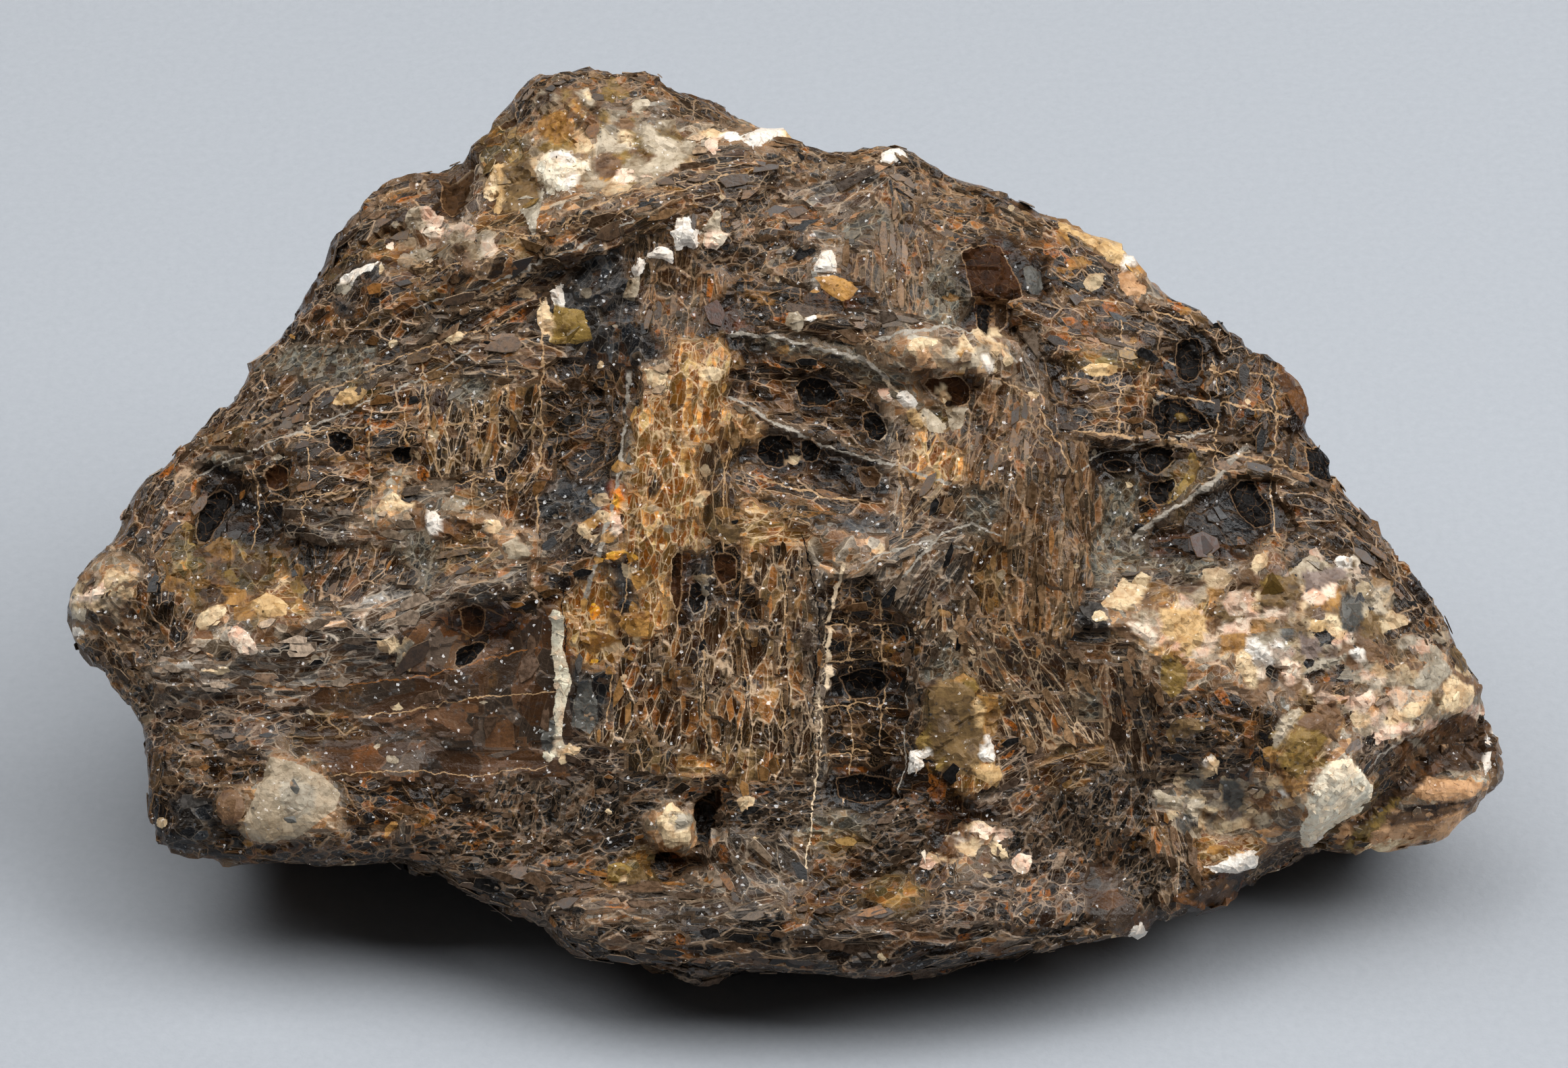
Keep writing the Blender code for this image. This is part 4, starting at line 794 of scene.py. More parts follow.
# Hairlines that run on through many books: edges of single sheets, and open cracks. The black ones are
# painted shade: the dark inside of an open crack, drawn as a line on the skin. Each has a tone, a half width
# in mm and the places that it runs through, x and y by turns.
LINE_TONES = {"tan": tone(158, 128, 94), "grey": tone(146, 138, 126), "cream": tone(200, 178, 148),
              # black is painted shade, the dark inside of open cracks
              "black": tone(10, 8, 7), "rust": tone(128, 84, 46)}
HAIRLINES = [
    ("cream", 0.13, 1250, 843, 1240, 870, 1232, 919, 1225, 1000, 1213, 1034),
    ("grey", 0.10, 1092, 497, 1153, 497, 1204, 512, 1286, 533, 1316, 558),
    ("cream", 0.14, 1310, 556, 1330, 580, 1352, 606, 1377, 630),
    ("grey", 0.08, 1090, 590, 1153, 630, 1230, 665, 1306, 686, 1357, 701, 1400, 715),
    ("grey", 0.08, 1310, 500, 1400, 490, 1470, 505, 1500, 530),
    ("grey", 0.15, 1689, 790, 1740, 755, 1790, 722, 1842, 668),
    ("grey", 0.12, 925, 560, 922, 640, 920, 700, 908, 760, 886, 820, 868, 880),
    ("cream", 0.05, 1213, 1034, 1211, 1146, 1205, 1220, 1190, 1300),
    ("tan", 0.05, 1117, 706, 1163, 719, 1210, 732, 1262, 740),
    ("tan", 0.05, 800, 440, 804, 520, 800, 590, 806, 640, 799, 700, 797, 780),
    ("grey", 0.05, 300, 700, 380, 668, 470, 630, 560, 588, 640, 556, 700, 520),
    ("tan", 0.04, 330, 640, 410, 612, 500, 572, 590, 530, 680, 500, 760, 470),
    ("tan", 0.05, 628, 545, 634, 600, 640, 640, 654, 715),
    ("tan", 0.04, 460, 600, 458, 680, 452, 770),
    ("tan", 0.04, 552, 560, 550, 640, 548, 700, 556, 770),
    ("tan", 0.04, 380, 690, 384, 740, 376, 800),
    ("tan", 0.04, 600, 600, 606, 660, 596, 730),
    ("tan", 0.04, 745, 575, 722, 600, 695, 641),
    ("tan", 0.04, 700, 600, 706, 660, 698, 730, 706, 790),
    ("tan", 0.04, 752, 540, 756, 620, 748, 700, 752, 760),
    ("tan", 0.04, 420, 650, 520, 632, 620, 640, 720, 622, 790, 630),
    ("tan", 0.04, 400, 745, 480, 735, 560, 722, 640, 728, 720, 708, 796, 700),
    ("rust", 0.04, 400, 1017, 480, 1020, 560, 1010, 640, 1000, 720, 976, 790, 960),
    ("tan", 0.04, 547, 1061, 620, 1052, 702, 1034, 815, 1026),
    ("tan", 0.03, 500, 1150, 600, 1140, 700, 1150, 800, 1136),
    ("tan", 0.05, 1590, 500, 1680, 520, 1780, 548, 1880, 560),
    ("tan", 0.05, 1600, 640, 1700, 650, 1800, 668, 1900, 690, 1990, 715),
    ("tan", 0.05, 1585, 560, 1680, 572, 1780, 590, 1900, 616),
    ("tan", 0.04, 1600, 440, 1700, 458, 1790, 490),
    ("tan", 0.04, 1660, 480, 1664, 560, 1656, 640),
    ("tan", 0.04, 1800, 540, 1806, 620, 1800, 700),
    ("tan", 0.04, 1880, 560, 1890, 640, 1884, 720, 1896, 790),
    ("grey", 0.05, 1585, 700, 1640, 672, 1720, 650, 1790, 640),
    ("tan", 0.04, 1330, 650, 1336, 720, 1340, 790),
    ("grey", 0.06, 1340, 850, 1370, 820, 1400, 790, 1440, 775, 1475, 790),
    ("grey", 0.05, 1290, 830, 1330, 815, 1390, 800, 1440, 815),
    ("tan", 0.04, 700, 330, 790, 352, 880, 330, 980, 292, 1080, 262, 1170, 244),
    ("grey", 0.05, 620, 455, 700, 430, 780, 395, 860, 360, 930, 330),
    ("tan", 0.04, 640, 400, 720, 380, 800, 350, 900, 300, 1000, 262),
    ("tan", 0.04, 1020, 620, 1024, 700, 1016, 780, 1008, 860, 1000, 960),
    ("tan", 0.04, 1075, 560, 1080, 650, 1070, 740, 1074, 830),
    ("tan", 0.04, 968, 560, 964, 660, 950, 760, 930, 860, 910, 960, 900, 1060),
    ("tan", 0.04, 1100, 830, 1096, 920, 1104, 1010, 1096, 1110),
    ("tan", 0.04, 1046, 900, 1040, 1000, 1048, 1100, 1040, 1160),
    ("tan", 0.04, 1160, 780, 1166, 880, 1158, 980, 1164, 1090),
    ("grey", 0.04, 1340, 940, 1346, 1020, 1340, 1100, 1332, 1180),
    ("tan", 0.04, 1225, 930, 1280, 925, 1335, 930),
    ("tan", 0.04, 1222, 985, 1280, 978, 1338, 985),
    ("tan", 0.04, 1218, 1048, 1280, 1044, 1340, 1052),
    ("tan", 0.04, 1214, 1120, 1280, 1112, 1338, 1120),
    ("tan", 0.04, 1262, 900, 1258, 1000, 1264, 1100, 1256, 1180),
    ("tan", 0.04, 1306, 900, 1310, 1000, 1304, 1100),
    ("tan", 0.04, 1480, 560, 1530, 590, 1560, 640, 1580, 700),
    ("grey", 0.05, 2180, 1010, 2120, 1068, 2050, 1118, 1990, 1160),
    # the black ones: painted shade of open cracks
    ("black", 0.03, 836, 850, 832, 900, 838, 940, 834, 1000),
    ("black", 0.04, 690, 700, 750, 690, 800, 706),
    ("black", 0.03, 560, 1190, 700, 1170, 820, 1180),
    ("black", 0.04, 1190, 800, 1215, 900, 1208, 1000, 1200, 1100),
]
NO_SEAM = 9.0  # mm to the nearest hairline where there is none
SEAM_WANDER = 0.12  # hairlines and grains follow the wandering of the books' borders a little
GRAIN_WANDER = 0.25
OUTLINE_WANDER = 0.06
HIDDEN_GRAIN_WANDER = 0.3
seam_off = np.full(len(places), NO_SEAM)
seam_near = np.full(len(places), NO_SEAM)
seam_tone = np.tile(LINE_TONES["tan"], (len(places), 1))
seam_width = np.full(len(places), 0.05)
straight_x, straight_y, _ = grid_of(places + wander * SEAM_WANDER)
for line_tone, half_width, *course in HAIRLINES:
    course = list(zip(course[::2], course[1::2]))
    for (x0, y0), (x1, y1) in zip(course, course[1:]):
        long = math.hypot(x1 - x0, y1 - y0)
        ahead = ((straight_x - x0) * (x1 - x0) + (straight_y - y0) * (y1 - y0)) / long
        aside = ((straight_x - x0) * (y1 - y0) - (straight_y - y0) * (x1 - x0)) / long
        past = np.maximum(np.maximum(-ahead, ahead - long), 0.0)
        away = np.hypot(past, aside) / GRID_PER_MM
        closer = (away < seam_near) & ~behind
        seam_near[closer] = away[closer]
        seam_off[closer] = aside[closer] / GRID_PER_MM
        seam_tone[closer] = LINE_TONES[line_tone]
        seam_width[closer] = half_width
give("seam_off", seam_off)
give("seam_near", seam_near)
give("seam_tone", seam_tone)
give("seam_width", seam_width)

# Grains: how deep inside a grain each point lies, in mm, the tones of that grain, how far it stands
# out, how fully it covers the rock, and whether it has a pale rim as the dark crystals do.
grain_level = np.full(len(places), -2.0)
grain_light = np.tile(PALE_TONES["cream"][0], (len(places), 1))
grain_deep = np.tile(PALE_TONES["cream"][1], (len(places), 1))
grain_stand = np.zeros(len(places))
grain_cover = np.ones(len(places))
grain_rim = np.zeros(len(places))
grain_x, grain_y, _ = grid_of(places + wander * GRAIN_WANDER)
outline_x, outline_y, _ = grid_of(places + wander * OUTLINE_WANDER)
on_face = np.flatnonzero(~behind)
face_x, face_y = grain_x[on_face], grain_y[on_face]
near_x, near_y = outline_x[on_face], outline_y[on_face]
MARGIN = 30  # grid steps round a grain or crystal within which its edge is measured
DARK_KINDS = ("jet", "garnet", "umber")
PALE_COVER = 0.93


def mark_grain(points, level, kind, stand, cover, rim=0.0):
    """Makes the points part of one grain."""
    grain_level[points] = level
    grain_light[points], grain_deep[points] = PALE_TONES[kind]
    grain_stand[points] = stand
    grain_cover[points] = cover
    grain_rim[points] = rim


def set_grain(kind, x, y, half_width, half_height, turn, stand, cover):
    """Marks the points within one straight-sided grain."""
    reach = max(half_width, half_height) * 1.3 + 0.8 * MARGIN
    close = on_face[(np.abs(face_x - x) < reach) & (np.abs(face_y - y) < reach)]
    if len(close) == 0:
        return
    along, across = along_and_across(grain_x[close] - x, y - grain_y[close], lie_of(turn))
    along /= half_width
    across /= half_height
    sides = random.choice((4, 5, 5, 6))
    first = random.uniform(0, math.tau)
    far = np.full(len(close), -9.0)
    for side in range(sides):
        bearing = first + math.tau * (side + random.uniform(-0.3, 0.3)) / sides
        off = (along * math.cos(bearing) + across * math.sin(bearing)) / random.uniform(0.7, 1.05)
        far = np.maximum(far, off)
    level = (1 - far) * min(half_width, half_height) / GRID_PER_MM
    inside = level > np.maximum(grain_level[close], -0.5) * (level < 0)
    inside &= (level > 0) | (level > grain_level[close])
    mark_grain(close[inside], level[inside], kind, stand, cover)


def set_crystal(kind, stand, *outline):
    """Marks the points within the outline of one crystal."""
    corners = np.array(outline, dtype=np.float64).reshape(-1, 2)
    low, high = corners.min(axis=0) - MARGIN, corners.max(axis=0) + MARGIN
    close = on_face[(near_x > low[0]) & (near_x < high[0]) & (near_y > low[1]) & (near_y < high[1])]
    spots = np.stack((outline_x[close], outline_y[close]), axis=1)
    far = np.full(len(close), 1e9)
    crossings = np.zeros(len(close), dtype=int)
    for start, end in zip(corners, np.roll(corners, -1, axis=0)):
        side = end - start
        share = np.clip(((spots - start) @ side) / (side @ side), 0, 1)
        far = np.minimum(far, np.linalg.norm(spots - start - share[:, None] * side, axis=1))
        level_with = (start[1] > spots[:, 1]) != (end[1] > spots[:, 1])
        meets = start[0] + (spots[:, 1] - start[1]) * side[0] / (side[1] or 1e-9)
        crossings += level_with & (spots[:, 0] < meets)
    within = crossings % 2 == 1
    level = np.where(within, far, -far) / GRID_PER_MM
    inside = within | ((level > grain_level[close]) & (grain_level[close] < 0))
    cover, rim = (1.0, 1.0) if kind in DARK_KINDS else (PALE_COVER, 0.0)
    mark_grain(close[inside], level[inside], kind, stand, cover, rim)


for _ in range(SPECKS):
    spot = random.choice(on_face)
    size = random.uniform(*SPECK_SIZE) * GRID_PER_MM
    set_grain(random.choice(SPECK_KINDS), grain_x[spot], grain_y[spot], size * random.uniform(0.8, 1.8),
              size, random.uniform(0, 180), 0.0, random.uniform(0.4, 0.9))
for patch_kinds, count, x, y, half_width, half_height, size in MOSAICS:
    for _ in range(count):
        bearing = random.uniform(0, math.tau)
        far = math.sqrt(random.random())
        grain_size = size * random.uniform(0.5, 1.5) * GRID_PER_MM
        set_grain(random.choice(patch_kinds), x + far * half_width * math.cos(bearing),
                  y + far * half_height * math.sin(bearing), grain_size * random.uniform(0.8, 1.6),
                  grain_size, random.uniform(0, 180), random.uniform(-0.05, 0.12),
                  random.uniform(0.35, 0.9))
# The grains that are given by size lack their crushed edge there, and stand half as proud.
for kind, x, y, half_width, half_height, turn, stand, _ in GRAINS:
    set_grain(kind, x, y, half_width * 1.15, half_height * 1.15, turn, stand * 0.5, 1.0)
for crystal in CRYSTALS:
    set_crystal(*crystal)
out_of_sight = np.flatnonzero(behind)
for spot in random.sample(list(out_of_sight), HIDDEN_GRAINS):
    off = places[out_of_sight] - places[spot] + wander[out_of_sight] * HIDDEN_GRAIN_WANDER
    size = random.uniform(*HIDDEN_GRAIN_SIZE)
    far = np.full(len(out_of_sight), -9.0)
    for _ in range(9):
        side = np.array(noise.random_unit_vector()) / random.uniform(0.5, 1.1)
        far = np.maximum(far, off @ side)
    level = size - far
    inside = (level > grain_level[out_of_sight]) & (np.linalg.norm(off, axis=1) < 2.2 * size)
    mark_grain(out_of_sight[inside], level[inside], random.choice(HIDDEN_GRAIN_KINDS), 0.1,
               random.uniform(0.4, 0.9))
give("grain_cover", grain_cover)
give("grain_rim", grain_rim)
give("grain_level", grain_level)
give("grain_light", grain_light)
give("grain_deep", grain_deep)

# Each book stands out of or back from its neighbours, with a little tilt of its own. Grains rise
# from their edges, and the broad hairlines are low ridges.
BOOK_STAND = 0.6  # worn books stand out by this share of the break
BOOK_TILT = 0.14
MOST_TILTED = 0.5  # mm by which a tilted book rises or falls at most
GRAIN_SLOPE = 0.25  # mm from the edge of a grain to its full height
SEAM_HEIGHT = 0.12  # mm
SEAM_SLOPE = 0.22
BROAD_SEAM = 0.07  # half width of a hairline that stands out, in mm
tilts = drift(np.arange(len(kinds))[:, None] * np.ones(3) * 0.61, 1.0, BOOK_TILT, 1.0)
middles = np.zeros((len(kinds), 3))
np.add.at(middles, owner, places)
counts = np.bincount(owner, minlength=len(kinds))[:, None]
middles /= np.maximum(counts, 1)
tilted = np.einsum("ij,ij->i", places - middles[owner], tilts[owner])
stand = BOOK_STAND * stand_out[owner] + np.clip(tilted, -MOST_TILTED, MOST_TILTED)
stand += grain_stand * np.clip(grain_level / GRAIN_SLOPE, 0.0, 1.0)
stand += SEAM_HEIGHT * np.exp(-(seam_near / SEAM_SLOPE) ** 2) * (seam_width > BROAD_SEAM)
move_points(skin.data, places + normals * blended(stand, 1))


def feed(node, feeds):
    """Sets a node's inputs: pairs of an input and the value or the socket that feeds it."""
    for slot, value in feeds:
        if isinstance(value, bpy.types.NodeSocket):
            node.id_data.links.new(value, node.inputs[slot])
        else:
            node.inputs[slot].default_value = value


def add_node(tree, kind, feeds=(), **settings):
    made = tree.nodes.new(kind)
    for name, value in settings.items():
        setattr(made, name, value)
    feed(made, feeds)
    return made


def maths(tree, operation, first, second=0.0, third=0.0, clamp=False):
    feeds = [(0, first), (1, second), (2, third)]
    return add_node(tree, "ShaderNodeMath", feeds, operation=operation, use_clamp=clamp).outputs[0]


def times(tree, product, *others):
    """All the values multiplied together."""
    for other in others:
        product = maths(tree, "MULTIPLY", product, other)
    return product


def less_half(tree, value):
    return maths(tree, "SUBTRACT", value, 0.5)


def vectors(tree, operation, first, second=(0, 0, 0)):
    """A sum on vectors or colours. SCALE takes a number as its second value."""
    feeds = [(0, first), ("Scale" if operation == "SCALE" else 1, second)]
    made = add_node(tree, "ShaderNodeVectorMath", feeds, operation=operation)
    return made.outputs["Value" if operation == "DOT_PRODUCT" else "Vector"]


def astray(tree, colour):
    """A random colour as a direction: each of its parts runs from -0.5 to 0.5."""
    return vectors(tree, "SUBTRACT", colour, (0.5, 0.5, 0.5))


def ramp(tree, value, low, high, to_low=0.0, to_high=1.0):
    """A smooth rise of a value from one level to another."""
    feeds = [(0, value), (1, low), (2, high), (3, to_low), (4, to_high)]
    return add_node(tree, "ShaderNodeMapRange", feeds, interpolation_type="SMOOTHSTEP").outputs[0]


def clouds(tree, place, size, detail=2.0, roughness=0.5, output=0):
    """Cloudy noise with clouds of about one size, as a number or as a colour."""
    feeds = [("Vector", place), ("Scale", 1 / size), ("Detail", detail), ("Roughness", roughness)]
    return add_node(tree, "ShaderNodeTexNoise", feeds).outputs[output]


def mosaic(tree, place, size, feature="F1"):
    """A pattern of straight-sided cells of about one size."""
    feeds = [("Vector", place), ("Scale", 1 / size)]
    return add_node(tree, "ShaderNodeTexVoronoi", feeds, feature=feature).outputs


def apart(tree, colour):
    """The three parts of a colour or vector, as numbers."""
    return add_node(tree, "ShaderNodeSeparateXYZ", [(0, colour)]).outputs


SMALL_CELL = 0.4  # width of a small cell as a part of a large one
LAYER_STRETCH = (0.20, 2.3, 1.1)


def book_pattern(tree, place):
    """The cells, rims and layers of a book, the same for its shape and for its colour."""
    bend = astray(tree, clouds(tree, place, 1.6, 1.0, output="Color"))
    bent = vectors(tree, "ADD", place, vectors(tree, "SCALE", bend, 0.55))
    fray = astray(tree, clouds(tree, place, 0.35, 1.0, output="Color"))
    bent = vectors(tree, "ADD", bent, vectors(tree, "SCALE", fray, 0.14))
    found = {"bent": bent}
    for name, width in (("big", 1.0), ("small", SMALL_CELL)):
        found[name + "_edge"] = mosaic(tree, bent, width, "DISTANCE_TO_EDGE")["Distance"]
        cell = mosaic(tree, bent, width)
        found[name + "_cell"] = apart(tree, cell["Color"])
        inside = vectors(tree, "SUBTRACT", bent, cell["Position"])
        found[name + "_facet"] = vectors(tree, "DOT_PRODUCT", astray(tree, cell["Color"]), inside)
    drawn = vectors(tree, "MULTIPLY", bent, LAYER_STRETCH)
    found["layers"] = clouds(tree, drawn, 1.0, 3.0, 0.6)
    return found


FACET_LEAN = 0.20  # slope of a large facet
FACET_STEP = 0.20  # height from one facet to the next, as a part of the cell size
CHUNK = 2.4  # width of a chunk of cells, in cells
CHUNK_STEP = 0.36  # height from one chunk to the next, as a part of the cell size
SMALL_FACET_LEAN = 0.15
SMALL_FACET_STEP = 0.05
RIM_HEIGHT = 0.06  # in mm
SMALL_RIM_HEIGHT = 0.03
LAYER_HEIGHT = 0.11


def carve(thing):
    """Breaks the books into leaning facets with raised rims, by the pattern that colours them."""
    tree = bpy.data.node_groups.new("carve_books", "GeometryNodeTree")
    tree.interface.new_socket("Geometry", in_out="INPUT", socket_type="NodeSocketGeometry")
    tree.interface.new_socket("Geometry", in_out="OUTPUT", socket_type="NodeSocketGeometry")
    shape_in = tree.nodes.new("NodeGroupInput").outputs[0]

    def given(name, kind="FLOAT"):
        return add_node(tree, "GeometryNodeInputNamedAttribute", [(0, name)], data_type=kind).outputs[0]

    pattern = book_pattern(tree, given("book_place", "FLOAT_VECTOR"))
    chunk = apart(tree, mosaic(tree, pattern["bent"], CHUNK)["Color"])
    step = times(tree, pattern["big_facet"], FACET_LEAN)
    steps = [(less_half(tree, pattern["big_cell"][2]), FACET_STEP),
             (pattern["small_facet"], SMALL_FACET_LEAN),
             (less_half(tree, pattern["small_cell"][2]), SMALL_FACET_STEP),
             (less_half(tree, chunk[0]), CHUNK_STEP)]
    for part, strength in steps:
        step = maths(tree, "MULTIPLY_ADD", part, strength, step)
    step = times(tree, step, given("book_size"))
    rim = ramp(tree, pattern["big_edge"], 0.0, 0.16, RIM_HEIGHT, 0.0)
    small_rim = ramp(tree, pattern["small_edge"], 0.0, 0.2, SMALL_RIM_HEIGHT, 0.0)
    height = maths(tree, "ADD", step, maths(tree, "ADD", rim, small_rim))
    height = times(tree, height, given("book_rough"))
    layer = less_half(tree, ramp(tree, pattern["layers"], 0.40, 0.60))
    layer = times(tree, layer, given("book_layers"))
    height = maths(tree, "MULTIPLY_ADD", layer, LAYER_HEIGHT, height)
    outward = tree.nodes.new("GeometryNodeInputNormal").outputs[0]
    feeds = [("Geometry", shape_in), ("Offset", vectors(tree, "SCALE", outward, height))]
    shaped = add_node(tree, "GeometryNodeSetPosition", feeds)
    add_node(tree, "NodeGroupOutput", [(0, shaped.outputs[0])])
    chisel = thing.modifiers.new("carve books", "NODES")
    chisel.node_group = tree
    baked(thing)


carve(skin)

# It still rests on its flat underside.
places = rows_of(skin.data.vertices, "co")
places[:, 2] = np.maximum(places[:, 2], 0.0)
move_points(skin.data, places)
skin_tree = BVHTree.FromPolygons([Vector(p) for p in places], [p.vertices[:] for p in skin.data.polygons])
skin.data.transform(Matrix.Scale(MM, 4))
skin.data.shade_flat()


def new_finish(name):
    """A new material, with its nodes, its shader and each point's place in mm."""
    made = bpy.data.materials.new(name)
    made.use_nodes = True
    tree = made.node_tree
    place = vectors(tree, "SCALE", add_node(tree, "ShaderNodeTexCoord").outputs["Object"], 1 / MM)
    return made, tree, tree.nodes["Principled BSDF"], place


def stored(tree, name, output="Fac"):
    return add_node(tree, "ShaderNodeAttribute", attribute_name=name).outputs[output]


def mix(tree, share, first, second):
    """One colour laid over another as far as a share says. Fixed colours are three numbers."""
    feeds = [(0, share)]
    for slot, colour in ((6, first), (7, second)):
        feeds.append((slot, colour if isinstance(colour, bpy.types.NodeSocket) else (*colour, 1)))
    return add_node(tree, "ShaderNodeMix", feeds, data_type="RGBA", clamp_factor=True).outputs[2]


def shaded(tree, colour, levels):
    """A colour with its red, green and blue each made stronger or weaker."""
    three = add_node(tree, "ShaderNodeCombineXYZ", list(enumerate(levels)))
    return vectors(tree, "MULTIPLY", colour, three.outputs[0])


def bumps(tree, height, strength, distance):
    """Fine relief from a pattern, up to a distance in metres."""
    feeds = [("Strength", strength), ("Distance", distance), ("Height", height)]
    return add_node(tree, "ShaderNodeBump", feeds).outputs[0]


BLACK_GLASS = (0.0082, 0.0066, 0.0058)
GOLDEN_MICA = tone(156, 98, 38)
BLUE_GREY_FILM = tone(96, 98, 98)
BROWN_CRACK = tone(96, 70, 46)
# pale specks: partly quartz dust, partly painted glints
QUARTZ_DUST_AND_GLINT = tone(222, 204, 180)
CLEAVED = 0.7  # mm across one facet of a large grain
MICA_IOR = 1.59


def rock_finish():
    """Brown mica: dark glassy cells, raised light rims, layer lines and tiny glints."""
    made, tree, shader, place = new_finish("rock_finish")
    pattern = book_pattern(tree, stored(tree, "book_place", "Vector"))
    big_edge = pattern["big_edge"]
    size = stored(tree, "book_size")
    layered = stored(tree, "book_layers")
    netted = stored(tree, "book_net")
    vein = stored(tree, "book_vein", "Color")
    broad = clouds(tree, place, 4.0, 2.0, 0.5)
    patch = clouds(tree, place, 1.5, 3.0, 0.6)
    speck = clouds(tree, place, 0.30, 3.0, 0.7)

    # Cells: light brown near their walls, deep brown inside, some black, some amber.
    depth = ramp(tree, big_edge, 0.0, 0.3, 0.0, 0.25)
    for part, strength in ((pattern["small_cell"][0], 0.55), (pattern["big_cell"][0], 0.65), (speck, 0.8)):
        depth = maths(tree, "MULTIPLY_ADD", part, strength, depth)
    depth = ramp(tree, depth, 0.44, 1.16)
    colour = mix(tree, depth, stored(tree, "book_light", "Color"), stored(tree, "book_deep", "Color"))
    black = maths(tree, "LESS_THAN", pattern["big_cell"][1], stored(tree, "book_black"))
    black = times(tree, black, ramp(tree, big_edge, 0.05, 0.2, 0.0, 0.9))
    colour = mix(tree, black, colour, BLACK_GLASS)
    golden = times(tree, ramp(tree, pattern["small_cell"][1], 0.74, 0.84),
                   ramp(tree, broad, 0.50, 0.60, 0.0, 0.6), ramp(tree, speck, 0.35, 0.6), netted)
    colour = mix(tree, golden, colour, GOLDEN_MICA)

    # The tint shifts from cell to cell: red, olive or grey.
    hue = pattern["small_cell"][2]
    tints = (ramp(tree, hue, 0.15, 0.85, 1.26, 0.84), ramp(tree, hue, 0.3, 0.7, 0.98, 1.02),
             ramp(tree, hue, 0.1, 0.9, 0.70, 1.25))
    colour = shaded(tree, colour, tints)

    # Thin films of blue-grey mica that lie over the brown in patches.
    film = times(tree, ramp(tree, patch, 0.57, 0.67), ramp(tree, speck, 0.38, 0.6, 0.03, 0.24),
                 maths(tree, "MULTIPLY_ADD", black, -0.8, 1.0))
    colour = mix(tree, film, colour, BLUE_GREY_FILM)

    # Cell walls and layer edges, under a tenth of a mm wide, that come and go.
    from_wall = times(tree, big_edge, size)
    wall = ramp(tree, from_wall, 0.01, 0.045, 1.0, 0.0)
    small_wall = ramp(tree, times(tree, pattern["small_edge"], size), 0.02, 0.08, 1.0, 0.0)
    small_wall = times(tree, small_wall, ramp(tree, patch, 0.40, 0.58, 0.08, 0.8))
    into = maths(tree, "MULTIPLY_ADD", patch, 0.8, from_wall)
    rings = ramp(tree, maths(tree, "PINGPONG", into, 0.05), 0.036, 0.05)
    rings = times(tree, rings, ramp(tree, big_edge, 0.10, 0.26, 0.45, 0.0))
    walls = maths(tree, "MAXIMUM", maths(tree, "MAXIMUM", wall, small_wall), rings)
    off_line = maths(tree, "ABSOLUTE", less_half(tree, pattern["layers"]))
    lines = times(tree, ramp(tree, off_line, 0.0, 0.022, 1.0, 0.0),
                  maths(tree, "MULTIPLY_ADD", layered, 0.26, 0.06))
    pale = maths(tree, "MAXIMUM", times(tree, walls, netted), lines)
    pale = times(tree, pale, ramp(tree, speck, 0.32, 0.50, 0.30, 0.95))
    colour = mix(tree, pale, colour, vein)

    # Broad patches are lighter and darker by turns. The layers of a book carry painted shade: the layers that
    # the carving raises are painted lighter and the sunk ones darker.
    painted_step_shade = times(tree, ramp(tree, pattern["layers"], 0.38, 0.62, -0.28, 0.24), layered)
    shade = maths(tree, "ADD", ramp(tree, broad, 0.3, 0.7, 0.82, 1.18), painted_step_shade)
    colour = shaded(tree, colour, [shade] * 3)

    # The hairlines.
    sway = times(tree, less_half(tree, clouds(tree, place, 0.9, 3.0, 0.6)), 0.7)
    off_seam = maths(tree, "ABSOLUTE", maths(tree, "ADD", stored(tree, "seam_off"), sway))
    off_seam = maths(tree, "DIVIDE", off_seam, stored(tree, "seam_width"))
    seam = times(tree, ramp(tree, off_seam, 0.7, 1.5, 1.0, 0.0),
                 ramp(tree, stored(tree, "seam_near"), 0.3, 0.6, 1.0, 0.0),
                 ramp(tree, speck, 0.30, 0.48, 0.4, 1.0))
    colour = mix(tree, seam, colour, stored(tree, "seam_tone", "Color"))

    # The grains, cleaved into facets with cracks between them. The dark ones have a pale rim.
    ragged = less_half(tree, clouds(tree, place, 0.4, 3.0, 0.7))
    level = maths(tree, "MULTIPLY_ADD", ragged, 0.30, stored(tree, "grain_level"))
    grain = ramp(tree, level, 0.0, 0.04)
    rim = ramp(tree, maths(tree, "ABSOLUTE", maths(tree, "SUBTRACT", level, 0.03)), 0.02, 0.06, 0.9, 0.0)
    rimmed = stored(tree, "grain_rim")
    facet = mosaic(tree, place, CLEAVED)["Color"]
    shade = times(tree, ramp(tree, patch, 0.42, 0.62), 0.55)
    shade = maths(tree, "MULTIPLY_ADD", apart(tree, facet)[1], 0.5, shade)
    shade = maths(tree, "MULTIPLY_ADD", less_half(tree, speck), 0.9, shade, clamp=True)
    grain_colour = mix(tree, shade, stored(tree, "grain_light", "Color"), stored(tree, "grain_deep", "Color"))
    crack = mosaic(tree, place, CLEAVED, "DISTANCE_TO_EDGE")["Distance"]
    crack = times(tree, ramp(tree, crack, 0.0, 0.05, 0.5, 0.0), ramp(tree, speck, 0.4, 0.6))
    grain_colour = mix(tree, crack, grain_colour, BROWN_CRACK)
    colour = mix(tree, times(tree, grain, stored(tree, "grain_cover")), colour, grain_colour)
    colour = mix(tree, times(tree, rim, rimmed), colour, vein)

    # Tiny pale specks, partly dust-fine grains of quartz and partly painted glints, but none on the dark
    # crystals.
    dust_and_glint_cells = mosaic(tree, place, 0.36)
    dark_crystal = times(tree, grain, rimmed)
    dust_and_glint = times(tree, maths(tree, "LESS_THAN", dust_and_glint_cells["Distance"], 0.12),
                  ramp(tree, apart(tree, dust_and_glint_cells["Color"])[0], 0.92, 0.95),
                  ramp(tree, stored(tree, "book_rough"), 0.45, 0.75),
                  maths(tree, "SUBTRACT", 1.0, dark_crystal))
    colour = mix(tree, dust_and_glint, colour, QUARTZ_DUST_AND_GLINT)

